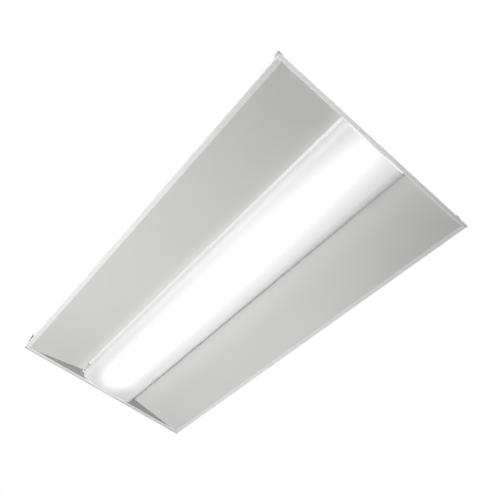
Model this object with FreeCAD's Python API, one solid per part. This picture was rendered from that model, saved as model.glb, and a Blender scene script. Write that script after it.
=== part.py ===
import FreeCAD, Part
import math
import os

# A recessed troffer light that lies in a 2 ft by 4 ft opening of a ceiling grid. Millimetres.
# X runs across the light, Y along it, Z up into the ceiling void. The origin is the centre of
# the opening, in the plane of the flanges' undersides, which is the plane of the ceiling.

V = FreeCAD.Vector

# ---- Driving dimensions ----------------------------------------------------------------------

# Face and depth
FACE_WIDTH = 603.25
FACE_LENGTH = 1212.85
HOUSING_DEPTH = 82.6
CORNER_DEPTH = 50.0

# Sheet metal
REFLECTOR_SHEET = 0.8
END_SHEET = 1.0
CHANNEL_SHEET = 1.0
TRAY_SHEET = 0.8
BEND = 1.5
SEAT = 0.1

# Reflector panels
SIDE_FLANGE = 14.0
SIDE_LIP = 8.0
WELL_WIDTH = 210.0
COFFER_RISE = 30.0
RETURN_HEIGHT = 14.0
REFLECTOR_TAB_WIDTH = 16.0
REFLECTOR_TAB_HEIGHT = 8.5
REFLECTOR_TABS = 3

# End plates, with a tall post at each corner and a shelf beside it
END_FLANGE = 10.4
END_WALL = 34.5
CORNER_POST = 14.0
SIDE_RETURN = 10.0
SHELF_HEIGHT = 38.0
SHELF_DEPTH = 25.0
SHELF_WIDTH = 34.0
SHELF_GAP = 1.6
SUSPENSION_HOLE_RADIUS = 3.2
SUSPENSION_INSET = 31.6
SUSPENSION_LINE = 6.5

# Leaning caps that close the back channel's ends
CAP_FOOT = 17.5
CAP_FOOT_WIDTH = 244.0
CAP_TOP_WIDTH = 196.0
CAP_LEAN = 14.0
CAP_RETURN = 14.0
CAP_RIVET_PLACE = 118.0
CAP_RIVET_HEIGHT = 31.3

# Back channel
CHANNEL_SHOULDER = 17.5
CHANNEL_TOP_WIDTH = 176.0
BRACE_HEIGHT = 16.0
BRACE_WIDTH = 22.0
BRACE_PITCH = 560.0
CHANNEL_RIVET_INSET = 40.0
TRAY_RIVET_INSET = 170.0

# Wiring compartment in the channel's top
WIRING_INSET = 136.4
WIRING_OPENING_WIDTH = 104.0
WIRING_OPENING_LENGTH = 92.0
COVER_MARGIN = 9.0
COVER_SHEET = 1.0
COVER_CORNER = 6.0
KNOCKOUT_RADIUS = 11.1
KNOCKOUT_PITCH = 52.0
BUSHING_WALL = 1.6
BUSHING_DROP = 5.0
BUSHING_RIM = 3.0
BUSHING_RISE = 2.0
HINGE_PIN_RADIUS = 1.5
HINGE_KNUCKLE_WALL = 1.2
HINGE_KNUCKLE_LENGTH = 24.0
RUNNING_CLEARANCE = 0.05

# Gear tray, boards and driver
TRAY_HEIGHT = 57.0
BOARD_WIDTH = 24.0
BOARD_INSET = 45.0
BOARD_THICKNESS = 1.6
BOARD_PITCH = 76.0
BOARD_GAP = 12.0
LED_SIZE = 3.2
LED_HEIGHT = 0.7
LED_PITCH = 22.0
DRIVER_LENGTH = 360.0
DRIVER_WIDTH = 30.0
DRIVER_HEIGHT = 20.0
DRIVER_EAR = 12.0
LEAD_HOLE_RADIUS = 7.0
LEAD_HOLE_PLACE = 62.0

# Lens basket
LENS_WIDTH = 186.0
LENS_DROP = 4.5
LENS_TOP = 36.0
LENS_WALL = 2.0
LENS_CROWN_RADIUS = 330.0
LENS_CORNER_RADIUS = 16.0
LENS_END_GAP = 1.3
LENS_CAP_SHEET = 1.2
LENS_RAIL_SHEET = 1.0
LENS_RAIL_SKIRT = 6.0
LENS_RAIL_LEG = 11.0
LENS_HINGE_OFFSET = 5.0
LENS_HINGE_HEIGHT = 28.0
LENS_PIN_RADIUS = 2.5
LENS_EAR_RADIUS = 5.0

# Grid clips
CLIP_INSET = 21.6
CLIP_LINE = 18.0
CLIP_REACH = 34.0
CLIP_WIDTH = 11.0
CLIP_SHEET = 1.2
CLIP_TAB = 7.0
CLIP_PIVOT_RADIUS = 2.5

# Fasteners and leads
RIVET_RADIUS = 1.6
RIVET_HEAD_RADIUS = 3.2
RIVET_HEAD = 1.0
SCREW_RADIUS = 1.5
SCREW_HEAD_RADIUS = 3.0
SCREW_HEAD = 1.6
LEAD_RADIUS = 1.1
LEAD_SIDES = 6
SHANK_SIDES = 8
COLLAR_SIDES = 16

# ---- Places worked out from them -------------------------------------------------------------

HALF_WIDTH = FACE_WIDTH / 2
HALF_LENGTH = FACE_LENGTH / 2
END_INNER = HALF_LENGTH - END_FLANGE
END_OUTER = END_INNER + END_SHEET
WELL_HALF = WELL_WIDTH / 2
REFLECTOR_END = END_INNER - SEAT
RETURN_TOP = COFFER_RISE + RETURN_HEIGHT
RETURN_OUTER = WELL_HALF + REFLECTOR_SHEET
WING_FOOT = HALF_WIDTH - SIDE_FLANGE
WING_SLOPE = COFFER_RISE / (WING_FOOT - WELL_HALF)
CHANNEL_INNER = RETURN_OUTER + SEAT
CHANNEL_OUTER = CHANNEL_INNER + CHANNEL_SHEET
CHANNEL_TOP = HOUSING_DEPTH - END_SHEET - SEAT
CAP_INNER_TOP = END_OUTER + SEAT - CAP_LEAN
CHANNEL_END = CAP_INNER_TOP - BEND
CAP_KNEE = END_WALL + END_SHEET
CHANNEL_FOOT = COFFER_RISE + BEND + 2 * REFLECTOR_SHEET
TRAY_TOP = TRAY_HEIGHT + TRAY_SHEET
LENS_HALF = LENS_WIDTH / 2
CAP_OUTER = END_INNER - LENS_END_GAP
CAP_INNER = CAP_OUTER - LENS_CAP_SHEET
LENS_END = CAP_INNER - SEAT
LENS_HINGE_X = -(LENS_HALF + LENS_HINGE_OFFSET)
WIRING_PLACE = WIRING_INSET - HALF_LENGTH
BOARD_LENGTH = END_INNER - BOARD_INSET - BOARD_GAP / 2
HINGE_KNUCKLE_RADIUS = HINGE_PIN_RADIUS + RUNNING_CLEARANCE + HINGE_KNUCKLE_WALL
COVER_BASE = CHANNEL_TOP + SEAT
COVER_HINGE_Y = WIRING_PLACE + WIRING_OPENING_LENGTH / 2 + COVER_MARGIN + HINGE_KNUCKLE_RADIUS
COVER_HINGE_Z = COVER_BASE + HINGE_KNUCKLE_RADIUS
BOARD_UNDERSIDE = TRAY_HEIGHT - SEAT - BOARD_THICKNESS
DRIVER_BASE = TRAY_TOP + SEAT
DRIVER_PLACE = (WIRING_PLACE + LEAD_HOLE_PLACE) / 2
CLIP_X = HALF_WIDTH - CLIP_INSET
CLIP_Y = END_OUTER - CLIP_LINE
CLIP_BASE = SHELF_HEIGHT + SEAT


# ---- Outlines --------------------------------------------------------------------------------

def in_xz(point, depth):
    """A point of a cross-section that runs along Y."""
    return V(point[0], depth, point[1])


def in_yz(point, depth):
    """A point of a cross-section that runs along X."""
    return V(depth, point[0], point[1])


def in_xy(point, depth):
    """A point of a plan outline that stands along Z."""
    return V(point[0], point[1], depth)


def unit(start, end):
    """The unit direction from one 2-D point to another."""
    length = math.hypot(end[0] - start[0], end[1] - start[1])
    return ((end[0] - start[0]) / length, (end[1] - start[1]) / length)


def rounded_corner(before, corner, after, radius):
    """The two tangent points and the middle of the arc that rounds a corner."""
    back = unit(corner, before)
    ahead = unit(corner, after)
    half = math.acos(max(-1.0, min(1.0, back[0] * ahead[0] + back[1] * ahead[1]))) / 2
    middle = unit((0, 0), (back[0] + ahead[0], back[1] + ahead[1]))
    reach = radius / math.tan(half)
    out = radius / math.sin(half) - radius
    return ((corner[0] + back[0] * reach, corner[1] + back[1] * reach),
            (corner[0] + middle[0] * out, corner[1] + middle[1] * out),
            (corner[0] + ahead[0] * reach, corner[1] + ahead[1] * reach))


def rounded_run(points, radii):
    """Lines and arcs along an open run of points, with a radius at each inner point."""
    pieces = []
    last = points[0]
    for before, corner, after, radius in zip(points, points[1:], points[2:], radii):
        if radius > 0:
            first, middle, second = rounded_corner(before, corner, after, radius)
            pieces += [(last, first), (first, middle, second)]
            last = second
        else:
            pieces.append((last, corner))
            last = corner
    pieces.append((last, points[-1]))
    return pieces


def extruded(pieces, plane, start, end):
    """The solid between two depths of a closed outline of lines and arcs."""
    edges = []
    for piece in pieces:
        places = [plane(point, start) for point in piece]
        if len(piece) == 2:
            edges.append(Part.LineSegment(places[0], places[1]).toShape())
        else:
            edges.append(Part.Arc(places[0], places[1], places[2]).toShape())
    face = Part.Face(Part.Wire(edges))
    return face.extrude(plane((0, 0), end) - plane((0, 0), start))


def plate(corners, radii, plane, start, end):
    """A flat plate with an outline of corners, each rounded by its own radius."""
    middle = tuple((corners[-1][i] + corners[0][i]) / 2 for i in (0, 1))
    run = [middle] + list(corners) + [middle]
    return extruded(rounded_run(run, radii), plane, start, end)


def offset_run(points, distance):
    """An open run of points moved to its left by a distance, with mitred corners."""
    moved = []
    count = len(points)
    for i in range(count):
        into = unit(points[max(i - 1, 0)], points[max(i, 1)])
        out = unit(points[min(i, count - 2)], points[min(i + 1, count - 1)])
        left = (-(into[1] + out[1]), into[0] + out[0])
        scale = distance * 2 / (left[0] ** 2 + left[1] ** 2)
        moved.append((points[i][0] + left[0] * scale, points[i][1] + left[1] * scale))
    return moved


def bent_sheet(points, thickness, side, bend, plane, start, end):
    """A bent sheet. The points are one face; side is 1 if the metal is on its left, or -1."""
    near, far = [], []
    for before, corner, after in zip(points, points[1:], points[2:]):
        into, out = unit(before, corner), unit(corner, after)
        turns_left = into[0] * out[1] - into[1] * out[0] > 0
        inside = turns_left == (side < 0)
        near.append(bend if not inside else bend + thickness)
        far.append(bend + thickness if not inside else bend)
    near, far = far, near
    back = offset_run(points, side * thickness)
    pieces = rounded_run(points, near)
    pieces.append((points[-1], back[-1]))
    pieces += rounded_run(back[::-1], far[::-1])
    pieces.append((back[0], points[0]))
    return extruded(pieces, plane, start, end)


def box(x, y, z):
    """A box between two values on each axis."""
    return Part.makeBox(x[1] - x[0], y[1] - y[0], z[1] - z[0], V(x[0], y[0], z[0]))


def rod(radius, start, end):
    """A round rod between two points."""
    run = V(*end) - V(*start)
    return Part.makeCylinder(radius, run.Length, V(*start), run)


def prism(radius, sides, start, end):
    """A many-sided prism between two points, its corners on a circle of that radius."""
    run = V(*end) - V(*start)
    aside = V(1, 0, 0) if abs(run.x) < abs(run.y) + abs(run.z) else V(0, 1, 0)
    across = run.cross(aside).normalize()
    turn = FreeCAD.Rotation(run, 360.0 / sides)
    corners = [across * radius]
    for _ in range(sides - 1):
        corners.append(turn.multVec(corners[-1]))
    ring = Part.makePolygon([V(*start) + corner for corner in corners + corners[:1]])
    return Part.Face(ring).extrude(run)


def drilled(radius, start, end):
    """A small fastener's hole, with as many sides as the plain shanks in it."""
    return prism(radius, SHANK_SIDES, start, end)


def mirrored_x(shape):
    """The same piece on the other long side."""
    return shape.mirror(V(0, 0, 0), V(1, 0, 0))


def mirrored_y(shape):
    """The same piece at the other end."""
    return shape.mirror(V(0, 0, 0), V(0, 1, 0))


def group(shapes):
    """Separate solids that share one node."""
    return Part.makeCompound(shapes)


def spread(count, reach):
    """Evenly spaced places, symmetric about the middle, out to a reach each way."""
    return [-reach + 2 * reach * i / (count - 1) for i in range(count)]


def wing_back(x):
    """Height of the back of a reflector's sloping panel, at a distance from the middle."""
    return (WING_FOOT - abs(x)) * WING_SLOPE + REFLECTOR_SHEET * math.hypot(1, WING_SLOPE)


# ---- Housing ---------------------------------------------------------------------------------

def reflector_tab_places():
    """Distances from the middle of the upturned tabs at a reflector's ends."""
    inner = WELL_HALF + 2 * REFLECTOR_TAB_WIDTH
    outer = WING_FOOT - REFLECTOR_TAB_WIDTH
    return [inner + (outer - inner) * i / (REFLECTOR_TABS - 1) for i in range(REFLECTOR_TABS)]


def tab_rivet_height(x):
    """Height of the rivet through a reflector's end tab."""
    return wing_back(x) + REFLECTOR_TAB_HEIGHT * 0.6


def channel_rivet_places():
    """Places along the light of the rivets that join the channel to the reflectors."""
    return spread(5, REFLECTOR_END - CHANNEL_RIVET_INSET)


def tray_rivet_places():
    """Places along the light of the rivets that hold the gear tray."""
    return spread(4, REFLECTOR_END - TRAY_RIVET_INSET)


def return_rivet_height():
    """Height of the rivets through the reflectors' returns."""
    return RETURN_TOP - RETURN_HEIGHT * 0.4


def tray_rivet_height():
    """Height of the rivets through the gear tray's legs."""
    return (RETURN_TOP + TRAY_HEIGHT) / 2


def reflector():
    """The right-hand reflector: lip, ceiling flange, sloping panel and return, in one sheet."""
    face = [(HALF_WIDTH, SIDE_LIP), (HALF_WIDTH, 0), (WING_FOOT, 0),
            (WELL_HALF, COFFER_RISE), (WELL_HALF, RETURN_TOP)]
    sheet = bent_sheet(face, REFLECTOR_SHEET, -1, BEND, in_xz, -REFLECTOR_END, REFLECTOR_END)
    for x in reflector_tab_places():
        foot = wing_back(x) - REFLECTOR_SHEET / 2
        for end in (-1, 1):
            outer = end * REFLECTOR_END
            inner = end * (REFLECTOR_END - REFLECTOR_SHEET)
            half = REFLECTOR_TAB_WIDTH / 2
            sheet = sheet.fuse(box((x - half, x + half), sorted((inner, outer)),
                                   (foot, foot + REFLECTOR_TAB_HEIGHT)))
    cuts = []
    for x in reflector_tab_places():
        z = tab_rivet_height(x)
        cuts.append(drilled(RIVET_RADIUS, (x, -HALF_LENGTH, z), (x, HALF_LENGTH, z)))
    for y in channel_rivet_places():
        z = return_rivet_height()
        cuts.append(drilled(RIVET_RADIUS, (WELL_HALF - 5, y, z), (WELL_HALF + 5, y, z)))
    for span in ((-HALF_LENGTH, -notch_line()), (notch_line(), HALF_LENGTH)):
        cuts.append(box((WELL_HALF - 5, WELL_HALF + 5), span, (END_WALL, RETURN_TOP + 1)))
    return sheet.cut(group(cuts)).removeSplitter()


def notch_line():
    """Distance along the light where the reflectors' returns are notched for the leaning caps."""
    return CAP_INNER_TOP + CAP_LEAN / 3


def suspension_place():
    """Distance from the middle, and place along the light, of a suspension hole."""
    return HALF_WIDTH - SUSPENSION_INSET, END_OUTER - SUSPENSION_LINE


def end_plate():
    """The near end plate: a ceiling flange, a low wall, corner posts and corner shelves."""
    face = [(-HALF_LENGTH, 0), (-END_INNER, 0), (-END_INNER, END_WALL)]
    sheet = bent_sheet(face, END_SHEET, 1, BEND, in_yz, -HALF_WIDTH, HALF_WIDTH)
    shelf = [(-END_OUTER, END_WALL - 2 * BEND), (-END_OUTER, SHELF_HEIGHT),
             (-END_OUTER + SHELF_DEPTH, SHELF_HEIGHT)]
    side_foot = SIDE_LIP + BEND
    shelf_end = HALF_WIDTH - CORNER_POST - SHELF_GAP
    for side in (-1, 1):
        span = sorted((side * (HALF_WIDTH - CORNER_POST), side * (HALF_WIDTH - 2 * BEND)))
        sheet = sheet.fuse(box(span, (-END_OUTER, -END_INNER), (END_WALL - 1, CORNER_DEPTH)))
        span = sorted((side * shelf_end, side * (shelf_end - SHELF_WIDTH)))
        sheet = sheet.fuse(bent_sheet(shelf, END_SHEET, -1, BEND, in_yz, span[0], span[1]))
        corner = [(side * (HALF_WIDTH - 2 * BEND), -END_OUTER), (side * HALF_WIDTH, -END_OUTER),
                  (side * HALF_WIDTH, -END_OUTER + SIDE_RETURN)]
        span = sorted((corner[0][0], side * HALF_WIDTH))
        sheet = sheet.cut(box(span, (-END_OUTER, -END_INNER), (side_foot, CORNER_DEPTH)))
        sheet = sheet.fuse(bent_sheet(corner, END_SHEET, side, BEND, in_xy, side_foot, CORNER_DEPTH))
    return sheet.cut(group(end_plate_holes())).removeSplitter()


def end_plate_holes():
    """The near end plate's holes for suspension, clips, rivets and the lens's hinge pin."""
    outer, inner = -HALF_LENGTH, -END_INNER + 5
    low, high = SHELF_HEIGHT - 5, SHELF_HEIGHT + 5
    hang_x, hang_y = suspension_place()
    pin = LENS_PIN_RADIUS + RUNNING_CLEARANCE
    holes = [rod(pin, (LENS_HINGE_X, outer, LENS_HINGE_HEIGHT), (LENS_HINGE_X, inner, LENS_HINGE_HEIGHT))]
    for side in (-1, 1):
        x = side * hang_x
        holes.append(rod(SUSPENSION_HOLE_RADIUS, (x, -hang_y, low), (x, -hang_y, high)))
        x = side * CLIP_X
        holes.append(rod(CLIP_PIVOT_RADIUS, (x, -CLIP_Y, low), (x, -CLIP_Y, high)))
        places = [(x, tab_rivet_height(x)) for x in reflector_tab_places()]
        for x, z in places + [(CAP_RIVET_PLACE, CAP_RIVET_HEIGHT)]:
            holes.append(drilled(RIVET_RADIUS, (side * x, outer, z), (side * x, inner, z)))
    return holes


def channel_cap():
    """The near leaning cap: a foot on the end plate, a leaning face and a return on the channel."""
    foot = -END_OUTER - SEAT
    under = HOUSING_DEPTH - END_SHEET
    face = [(foot, CAP_FOOT), (foot, CAP_KNEE), (-CAP_INNER_TOP, under), (CAP_RETURN - CAP_INNER_TOP, under)]
    sheet = bent_sheet(face, END_SHEET, 1, BEND, in_yz, -HALF_WIDTH, HALF_WIDTH)
    low, high = CAP_FOOT_WIDTH / 2, CAP_TOP_WIDTH / 2
    outline = [(low, CAP_FOOT), (low, CAP_KNEE), (high, HOUSING_DEPTH),
               (-high, HOUSING_DEPTH), (-low, CAP_KNEE), (-low, CAP_FOOT)]
    sheet = sheet.common(plate(outline, [2, 0, 0, 0, 0, 2], in_xz, -HALF_LENGTH, CAP_RETURN - CAP_INNER_TOP))
    outer, inner = -HALF_LENGTH, -END_INNER
    relief, z = LENS_PIN_RADIUS + 3.5, LENS_HINGE_HEIGHT
    holes = []
    for side in (-1, 1):
        x = side * LENS_HINGE_X
        holes.append(prism(relief, SHANK_SIDES, (x, outer, z), (x, inner, z)))
        x = side * CAP_RIVET_PLACE
        holes.append(drilled(RIVET_RADIUS, (x, outer, CAP_RIVET_HEIGHT), (x, inner, CAP_RIVET_HEIGHT)))
    y = -cap_screw_line()
    for x in cap_screw_places():
        holes.append(drilled(SCREW_RADIUS, (x, y, CHANNEL_TOP), (x, y, HOUSING_DEPTH + 1)))
    return sheet.cut(group(holes)).removeSplitter()


def cap_screw_places():
    """Distances from the middle of the screws through a leaning cap's return."""
    return spread(2, CHANNEL_TOP_WIDTH / 2 - 24)


def cap_screw_line():
    """Distance along the light of the screws through the leaning caps' returns."""
    return CAP_INNER_TOP - CAP_RETURN / 2


def back_channel():
    """The inverted channel with sloping shoulders that closes the lamp well from above."""
    half_top = CHANNEL_TOP_WIDTH / 2
    face = [(CHANNEL_OUTER, CHANNEL_FOOT), (CHANNEL_OUTER, CHANNEL_TOP - CHANNEL_SHOULDER),
            (half_top, CHANNEL_TOP), (-half_top, CHANNEL_TOP),
            (-CHANNEL_OUTER, CHANNEL_TOP - CHANNEL_SHOULDER), (-CHANNEL_OUTER, CHANNEL_FOOT)]
    sheet = bent_sheet(face, CHANNEL_SHEET, 1, BEND, in_xz, -CHANNEL_END, CHANNEL_END)
    cuts = [box((-WIRING_OPENING_WIDTH / 2, WIRING_OPENING_WIDTH / 2),
                (WIRING_PLACE - WIRING_OPENING_LENGTH / 2, WIRING_PLACE + WIRING_OPENING_LENGTH / 2),
                (CHANNEL_TOP - 5, CHANNEL_TOP + 5))]
    for side in (-1, 1):
        inner, outer = side * (CHANNEL_INNER - 2), side * (CHANNEL_OUTER + 2)
        for y in channel_rivet_places():
            z = return_rivet_height()
            cuts.append(drilled(RIVET_RADIUS, (inner, y, z), (outer, y, z)))
        for y in tray_rivet_places():
            z = tray_rivet_height()
            cuts.append(drilled(RIVET_RADIUS, (inner, y, z), (outer, y, z)))
    low, high = CHANNEL_TOP - 3, CHANNEL_TOP + 3
    for x in cap_screw_places():
        for y in (-cap_screw_line(), cap_screw_line()):
            cuts.append(drilled(SCREW_RADIUS, (x, y, low), (x, y, high)))
    y = leaf_rivet_line()
    for x in leaf_rivet_places():
        cuts.append(drilled(RIVET_RADIUS, (x, y, low), (x, y, high)))
    y = cover_screw_line()
    cuts.append(drilled(SCREW_RADIUS + 0.8, (0, y, low), (0, y, high)))
    return sheet.cut(group(cuts)).removeSplitter()


def brace_places():
    """Places along the light of the braces on the reflectors' backs."""
    return spread(2, BRACE_PITCH / 2)


def reflector_brace(y):
    """A hat-section brace from the channel's wall to the side lip, on a reflector's back."""
    half = BRACE_WIDTH / 2
    inner = CHANNEL_OUTER + SEAT
    outer = HALF_WIDTH - REFLECTOR_SHEET - SEAT
    relief = BEND + SEAT
    foot_in = wing_back(inner) + SEAT
    foot_out = wing_back(WING_FOOT) + SEAT
    side = [(inner, foot_in + relief), (inner + relief, foot_in), (WING_FOOT, foot_out),
            (outer - relief, foot_out), (outer, foot_out + relief), (outer, SIDE_LIP),
            (inner, foot_in + BRACE_HEIGHT)]
    outside = plate(side, [0] * 7, in_xz, y - half, y + half)
    wall = REFLECTOR_SHEET
    hollow = [(inner - 5, foot_in - 5), (outer - 12, -5), (outer - 12, SIDE_LIP - wall - 0.4),
              (inner - 5, foot_in + BRACE_HEIGHT - wall + 0.4)]
    inside = plate(hollow, [0] * 4, in_xz, y - half + wall, y + half - wall)
    return outside.cut(inside)


# ---- Wiring compartment ----------------------------------------------------------------------

def cover_span():
    """Half width, near edge and far edge of the wiring cover."""
    half = WIRING_OPENING_WIDTH / 2 + COVER_MARGIN
    near = WIRING_PLACE - WIRING_OPENING_LENGTH / 2 - COVER_MARGIN
    return half, near, COVER_HINGE_Y


def cover_screw_line():
    """Place along the light of the wiring cover's captive screw."""
    return WIRING_PLACE - WIRING_OPENING_LENGTH / 2 - COVER_MARGIN / 2


def leaf_rivet_places():
    """Distances from the middle of the rivets through the hinge leaf."""
    return spread(2, HINGE_KNUCKLE_LENGTH)


def leaf_rivet_line():
    """Place along the light of the rivets through the hinge leaf."""
    return COVER_HINGE_Y + HINGE_KNUCKLE_RADIUS + 7


def knuckle(start, end):
    """A rolled hinge knuckle round the cover's pin, between two distances from the middle."""
    y, z = COVER_HINGE_Y, COVER_HINGE_Z
    tube = rod(HINGE_KNUCKLE_RADIUS, (start, y, z), (end, y, z))
    bore = rod(HINGE_PIN_RADIUS + RUNNING_CLEARANCE, (start - 1, y, z), (end + 1, y, z))
    return tube, bore


def wiring_cover():
    """The cover of the wiring compartment, with its knockouts and its rolled knuckle."""
    half, near, far = cover_span()
    back = WIRING_PLACE + WIRING_OPENING_LENGTH / 2 + COVER_MARGIN - COVER_SHEET
    outline = [(half, near), (half, back), (-half, back), (-half, near)]
    sheet = plate(outline, [COVER_CORNER] * 4, in_xy, COVER_BASE, COVER_BASE + COVER_SHEET)
    reach = HINGE_KNUCKLE_LENGTH / 2
    tongue = box((-reach, reach), (back - 2, far), (COVER_BASE, COVER_BASE + COVER_SHEET))
    tube, bore = knuckle(-reach, reach)
    sheet = sheet.fuse([tongue, tube]).cut(bore)
    low, high = COVER_BASE - 1, COVER_BASE + 3
    holes = [rod(KNOCKOUT_RADIUS, (x, WIRING_PLACE, low), (x, WIRING_PLACE, high)) for x in knockout_places()]
    y = cover_screw_line()
    holes.append(drilled(SCREW_RADIUS, (0, y, low), (0, y, high)))
    return sheet.cut(group(holes)).removeSplitter()


def knockout_places():
    """Distances from the middle of the cover's two knockouts."""
    return spread(2, KNOCKOUT_PITCH / 2)


def knockout_slug():
    """The round slug that closes the unused knockout, held at its rim."""
    x = knockout_places()[1]
    top = COVER_BASE + COVER_SHEET
    return rod(KNOCKOUT_RADIUS - SEAT, (x, WIRING_PLACE, COVER_BASE), (x, WIRING_PLACE, top))


def wiring_bushing():
    """The snap-in bushing in the open knockout, where the supply comes in."""
    x = knockout_places()[0]
    top = COVER_BASE + COVER_SHEET + SEAT
    outer = KNOCKOUT_RADIUS - SEAT
    inner = outer - BUSHING_WALL
    y, low, high = WIRING_PLACE, COVER_BASE - BUSHING_DROP, top + BUSHING_RISE
    neck = prism(outer, COLLAR_SIDES, (x, y, low), (x, y, high))
    rim = prism(outer + BUSHING_RIM, COLLAR_SIDES, (x, y, top), (x, y, high))
    return neck.fuse(rim).cut(rod(inner, (x, y, low - 1), (x, y, high + 1))).removeSplitter()


def hinge_leaf():
    """The fixed leaf of the cover's hinge, with a knuckle each side of the cover's own."""
    gap = 0.3
    inner = HINGE_KNUCKLE_LENGTH / 2 + gap
    outer = inner + HINGE_KNUCKLE_LENGTH
    back = leaf_rivet_line() + 7
    sheet = box((-outer, outer), (COVER_HINGE_Y + HINGE_KNUCKLE_RADIUS + gap, back),
                (COVER_BASE, COVER_BASE + COVER_SHEET))
    bores = []
    for side in (-1, 1):
        span = sorted((side * inner, side * outer))
        tube, bore = knuckle(span[0], span[1])
        tongue = box(span, (COVER_HINGE_Y, COVER_HINGE_Y + HINGE_KNUCKLE_RADIUS + 1),
                     (COVER_BASE, COVER_BASE + COVER_SHEET))
        sheet = sheet.fuse([tube, tongue])
        bores.append(bore)
    y = leaf_rivet_line()
    for x in leaf_rivet_places():
        bores.append(drilled(RIVET_RADIUS, (x, y, COVER_BASE - 1), (x, y, COVER_BASE + 3)))
    return sheet.cut(group(bores)).removeSplitter()


def hinge_pin():
    """The pin of the cover's hinge."""
    reach = HINGE_KNUCKLE_LENGTH * 1.5 + 0.3
    y, z = COVER_HINGE_Y, COVER_HINGE_Z
    return rod(HINGE_PIN_RADIUS, (-reach, y, z), (reach, y, z))


def cover_screw():
    """The captive screw at the cover's free edge."""
    y = cover_screw_line()
    top = COVER_BASE + COVER_SHEET
    return screw((0, y, top + SEAT), (0, y, CHANNEL_TOP - CHANNEL_SHEET - 2))


# ---- Gear tray, boards and driver ------------------------------------------------------------

def tray_end():
    """Distance along the light of the gear tray's ends."""
    return CAP_INNER_TOP + CAP_LEAN / 4


def gear_tray():
    """The tray across the lamp well: boards below it, driver and wiring above it."""
    half = RETURN_OUTER
    face = [(half, RETURN_TOP + SEAT), (half, TRAY_TOP), (-half, TRAY_TOP), (-half, RETURN_TOP + SEAT)]
    sheet = bent_sheet(face, TRAY_SHEET, 1, BEND, in_xz, -tray_end(), tray_end())
    cuts = []
    for side in (-1, 1):
        for y in tray_rivet_places():
            z = tray_rivet_height()
            cuts.append(drilled(RIVET_RADIUS, (side * (half - 3), y, z), (side * (half + 3), y, z)))
    low, high = TRAY_HEIGHT - 1, TRAY_TOP + 1
    for x, y in board_screw_places() + driver_screw_places() + [ground_screw_place()]:
        cuts.append(drilled(SCREW_RADIUS, (x, y, low), (x, y, high)))
    cuts.append(prism(LEAD_HOLE_RADIUS, COLLAR_SIDES, (0, LEAD_HOLE_PLACE, low), (0, LEAD_HOLE_PLACE, high)))
    return sheet.cut(group(cuts)).removeSplitter()


def ground_screw_place():
    """Place of the ground screw in the wiring compartment."""
    return (WIRING_OPENING_WIDTH / 2 - 10, WIRING_PLACE + WIRING_OPENING_LENGTH / 4)


def board_places():
    """Middles of the four boards, in two rows of two."""
    reach = (BOARD_LENGTH + BOARD_GAP) / 2
    return [(x, y) for x in (-BOARD_PITCH / 2, BOARD_PITCH / 2) for y in (-reach, reach)]


def board_screw_places():
    """Places of the boards' screws, three to a board."""
    reach = BOARD_LENGTH / 2 - LED_PITCH
    inset = BOARD_WIDTH / 2 - SCREW_HEAD_RADIUS - 1
    return [(x + inset, y + step) for x, y in board_places() for step in spread(3, reach)]


def led_board(x, y):
    """One long circuit board, with its screw holes."""
    half_x, half_y = BOARD_WIDTH / 2, BOARD_LENGTH / 2
    outline = [(x + half_x, y - half_y), (x + half_x, y + half_y),
               (x - half_x, y + half_y), (x - half_x, y - half_y)]
    sheet = plate(outline, [1.5] * 4, in_xy, BOARD_UNDERSIDE, BOARD_UNDERSIDE + BOARD_THICKNESS)
    holes = [drilled(SCREW_RADIUS, (sx, sy, BOARD_UNDERSIDE - 1), (sx, sy, TRAY_HEIGHT + 1))
             for sx, sy in board_screw_places() if abs(sx - x) < half_x and abs(sy - y) < half_y]
    return sheet.cut(group(holes))


def led_packages(x, y):
    """The light sources along one board."""
    count = int((BOARD_LENGTH - LED_PITCH) // LED_PITCH)
    half = LED_SIZE / 2
    places = spread(count, (count - 1) * LED_PITCH / 2)
    return [box((x - half - 2, x + half - 2), (y + step - half, y + step + half),
                (BOARD_UNDERSIDE - LED_HEIGHT, BOARD_UNDERSIDE)) for step in places]


def board_screw(x, y):
    """A pan-head screw that holds a board to the tray."""
    return screw((x, y, BOARD_UNDERSIDE - SEAT / 2), (x, y, TRAY_TOP + 2))


def connector_places():
    """Middles of the boards' connectors, at the ends that meet."""
    inset = 14.0
    return [(x - 3, y + (inset - BOARD_LENGTH / 2 if y > 0 else BOARD_LENGTH / 2 - inset))
            for x, y in board_places()]


def board_connector(x, y):
    """A low push-in connector on a board's underside, with its two wire entries."""
    low, high = BOARD_UNDERSIDE - 4.0, BOARD_UNDERSIDE - SEAT / 2
    body = box((x - 4, x + 4), (y - 5, y + 5), (low, high))
    middle = (low + high) / 2
    entries = [drilled(LEAD_RADIUS + 0.1, (x + dx, y + face, middle), (x + dx, y + face * 0.4, middle))
               for dx in (-2, 2) for face in (-5, 5)]
    return body.cut(group(entries))


def driver_screw_places():
    """Places of the two screws through the driver's ears."""
    reach = DRIVER_LENGTH / 2 + DRIVER_EAR / 2
    return [(0, DRIVER_PLACE - reach), (0, DRIVER_PLACE + reach)]


def driver_base():
    """The driver's base plate, with an ear at each end."""
    reach = DRIVER_LENGTH / 2 + DRIVER_EAR
    half = DRIVER_WIDTH / 2
    outline = [(half, DRIVER_PLACE - reach), (half, DRIVER_PLACE + reach),
               (-half, DRIVER_PLACE + reach), (-half, DRIVER_PLACE - reach)]
    sheet = plate(outline, [4] * 4, in_xy, DRIVER_BASE, DRIVER_BASE + 1.0)
    holes = [drilled(SCREW_RADIUS, (x, y, DRIVER_BASE - 1), (x, y, DRIVER_BASE + 3))
             for x, y in driver_screw_places()]
    return sheet.cut(group(holes))


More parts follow.
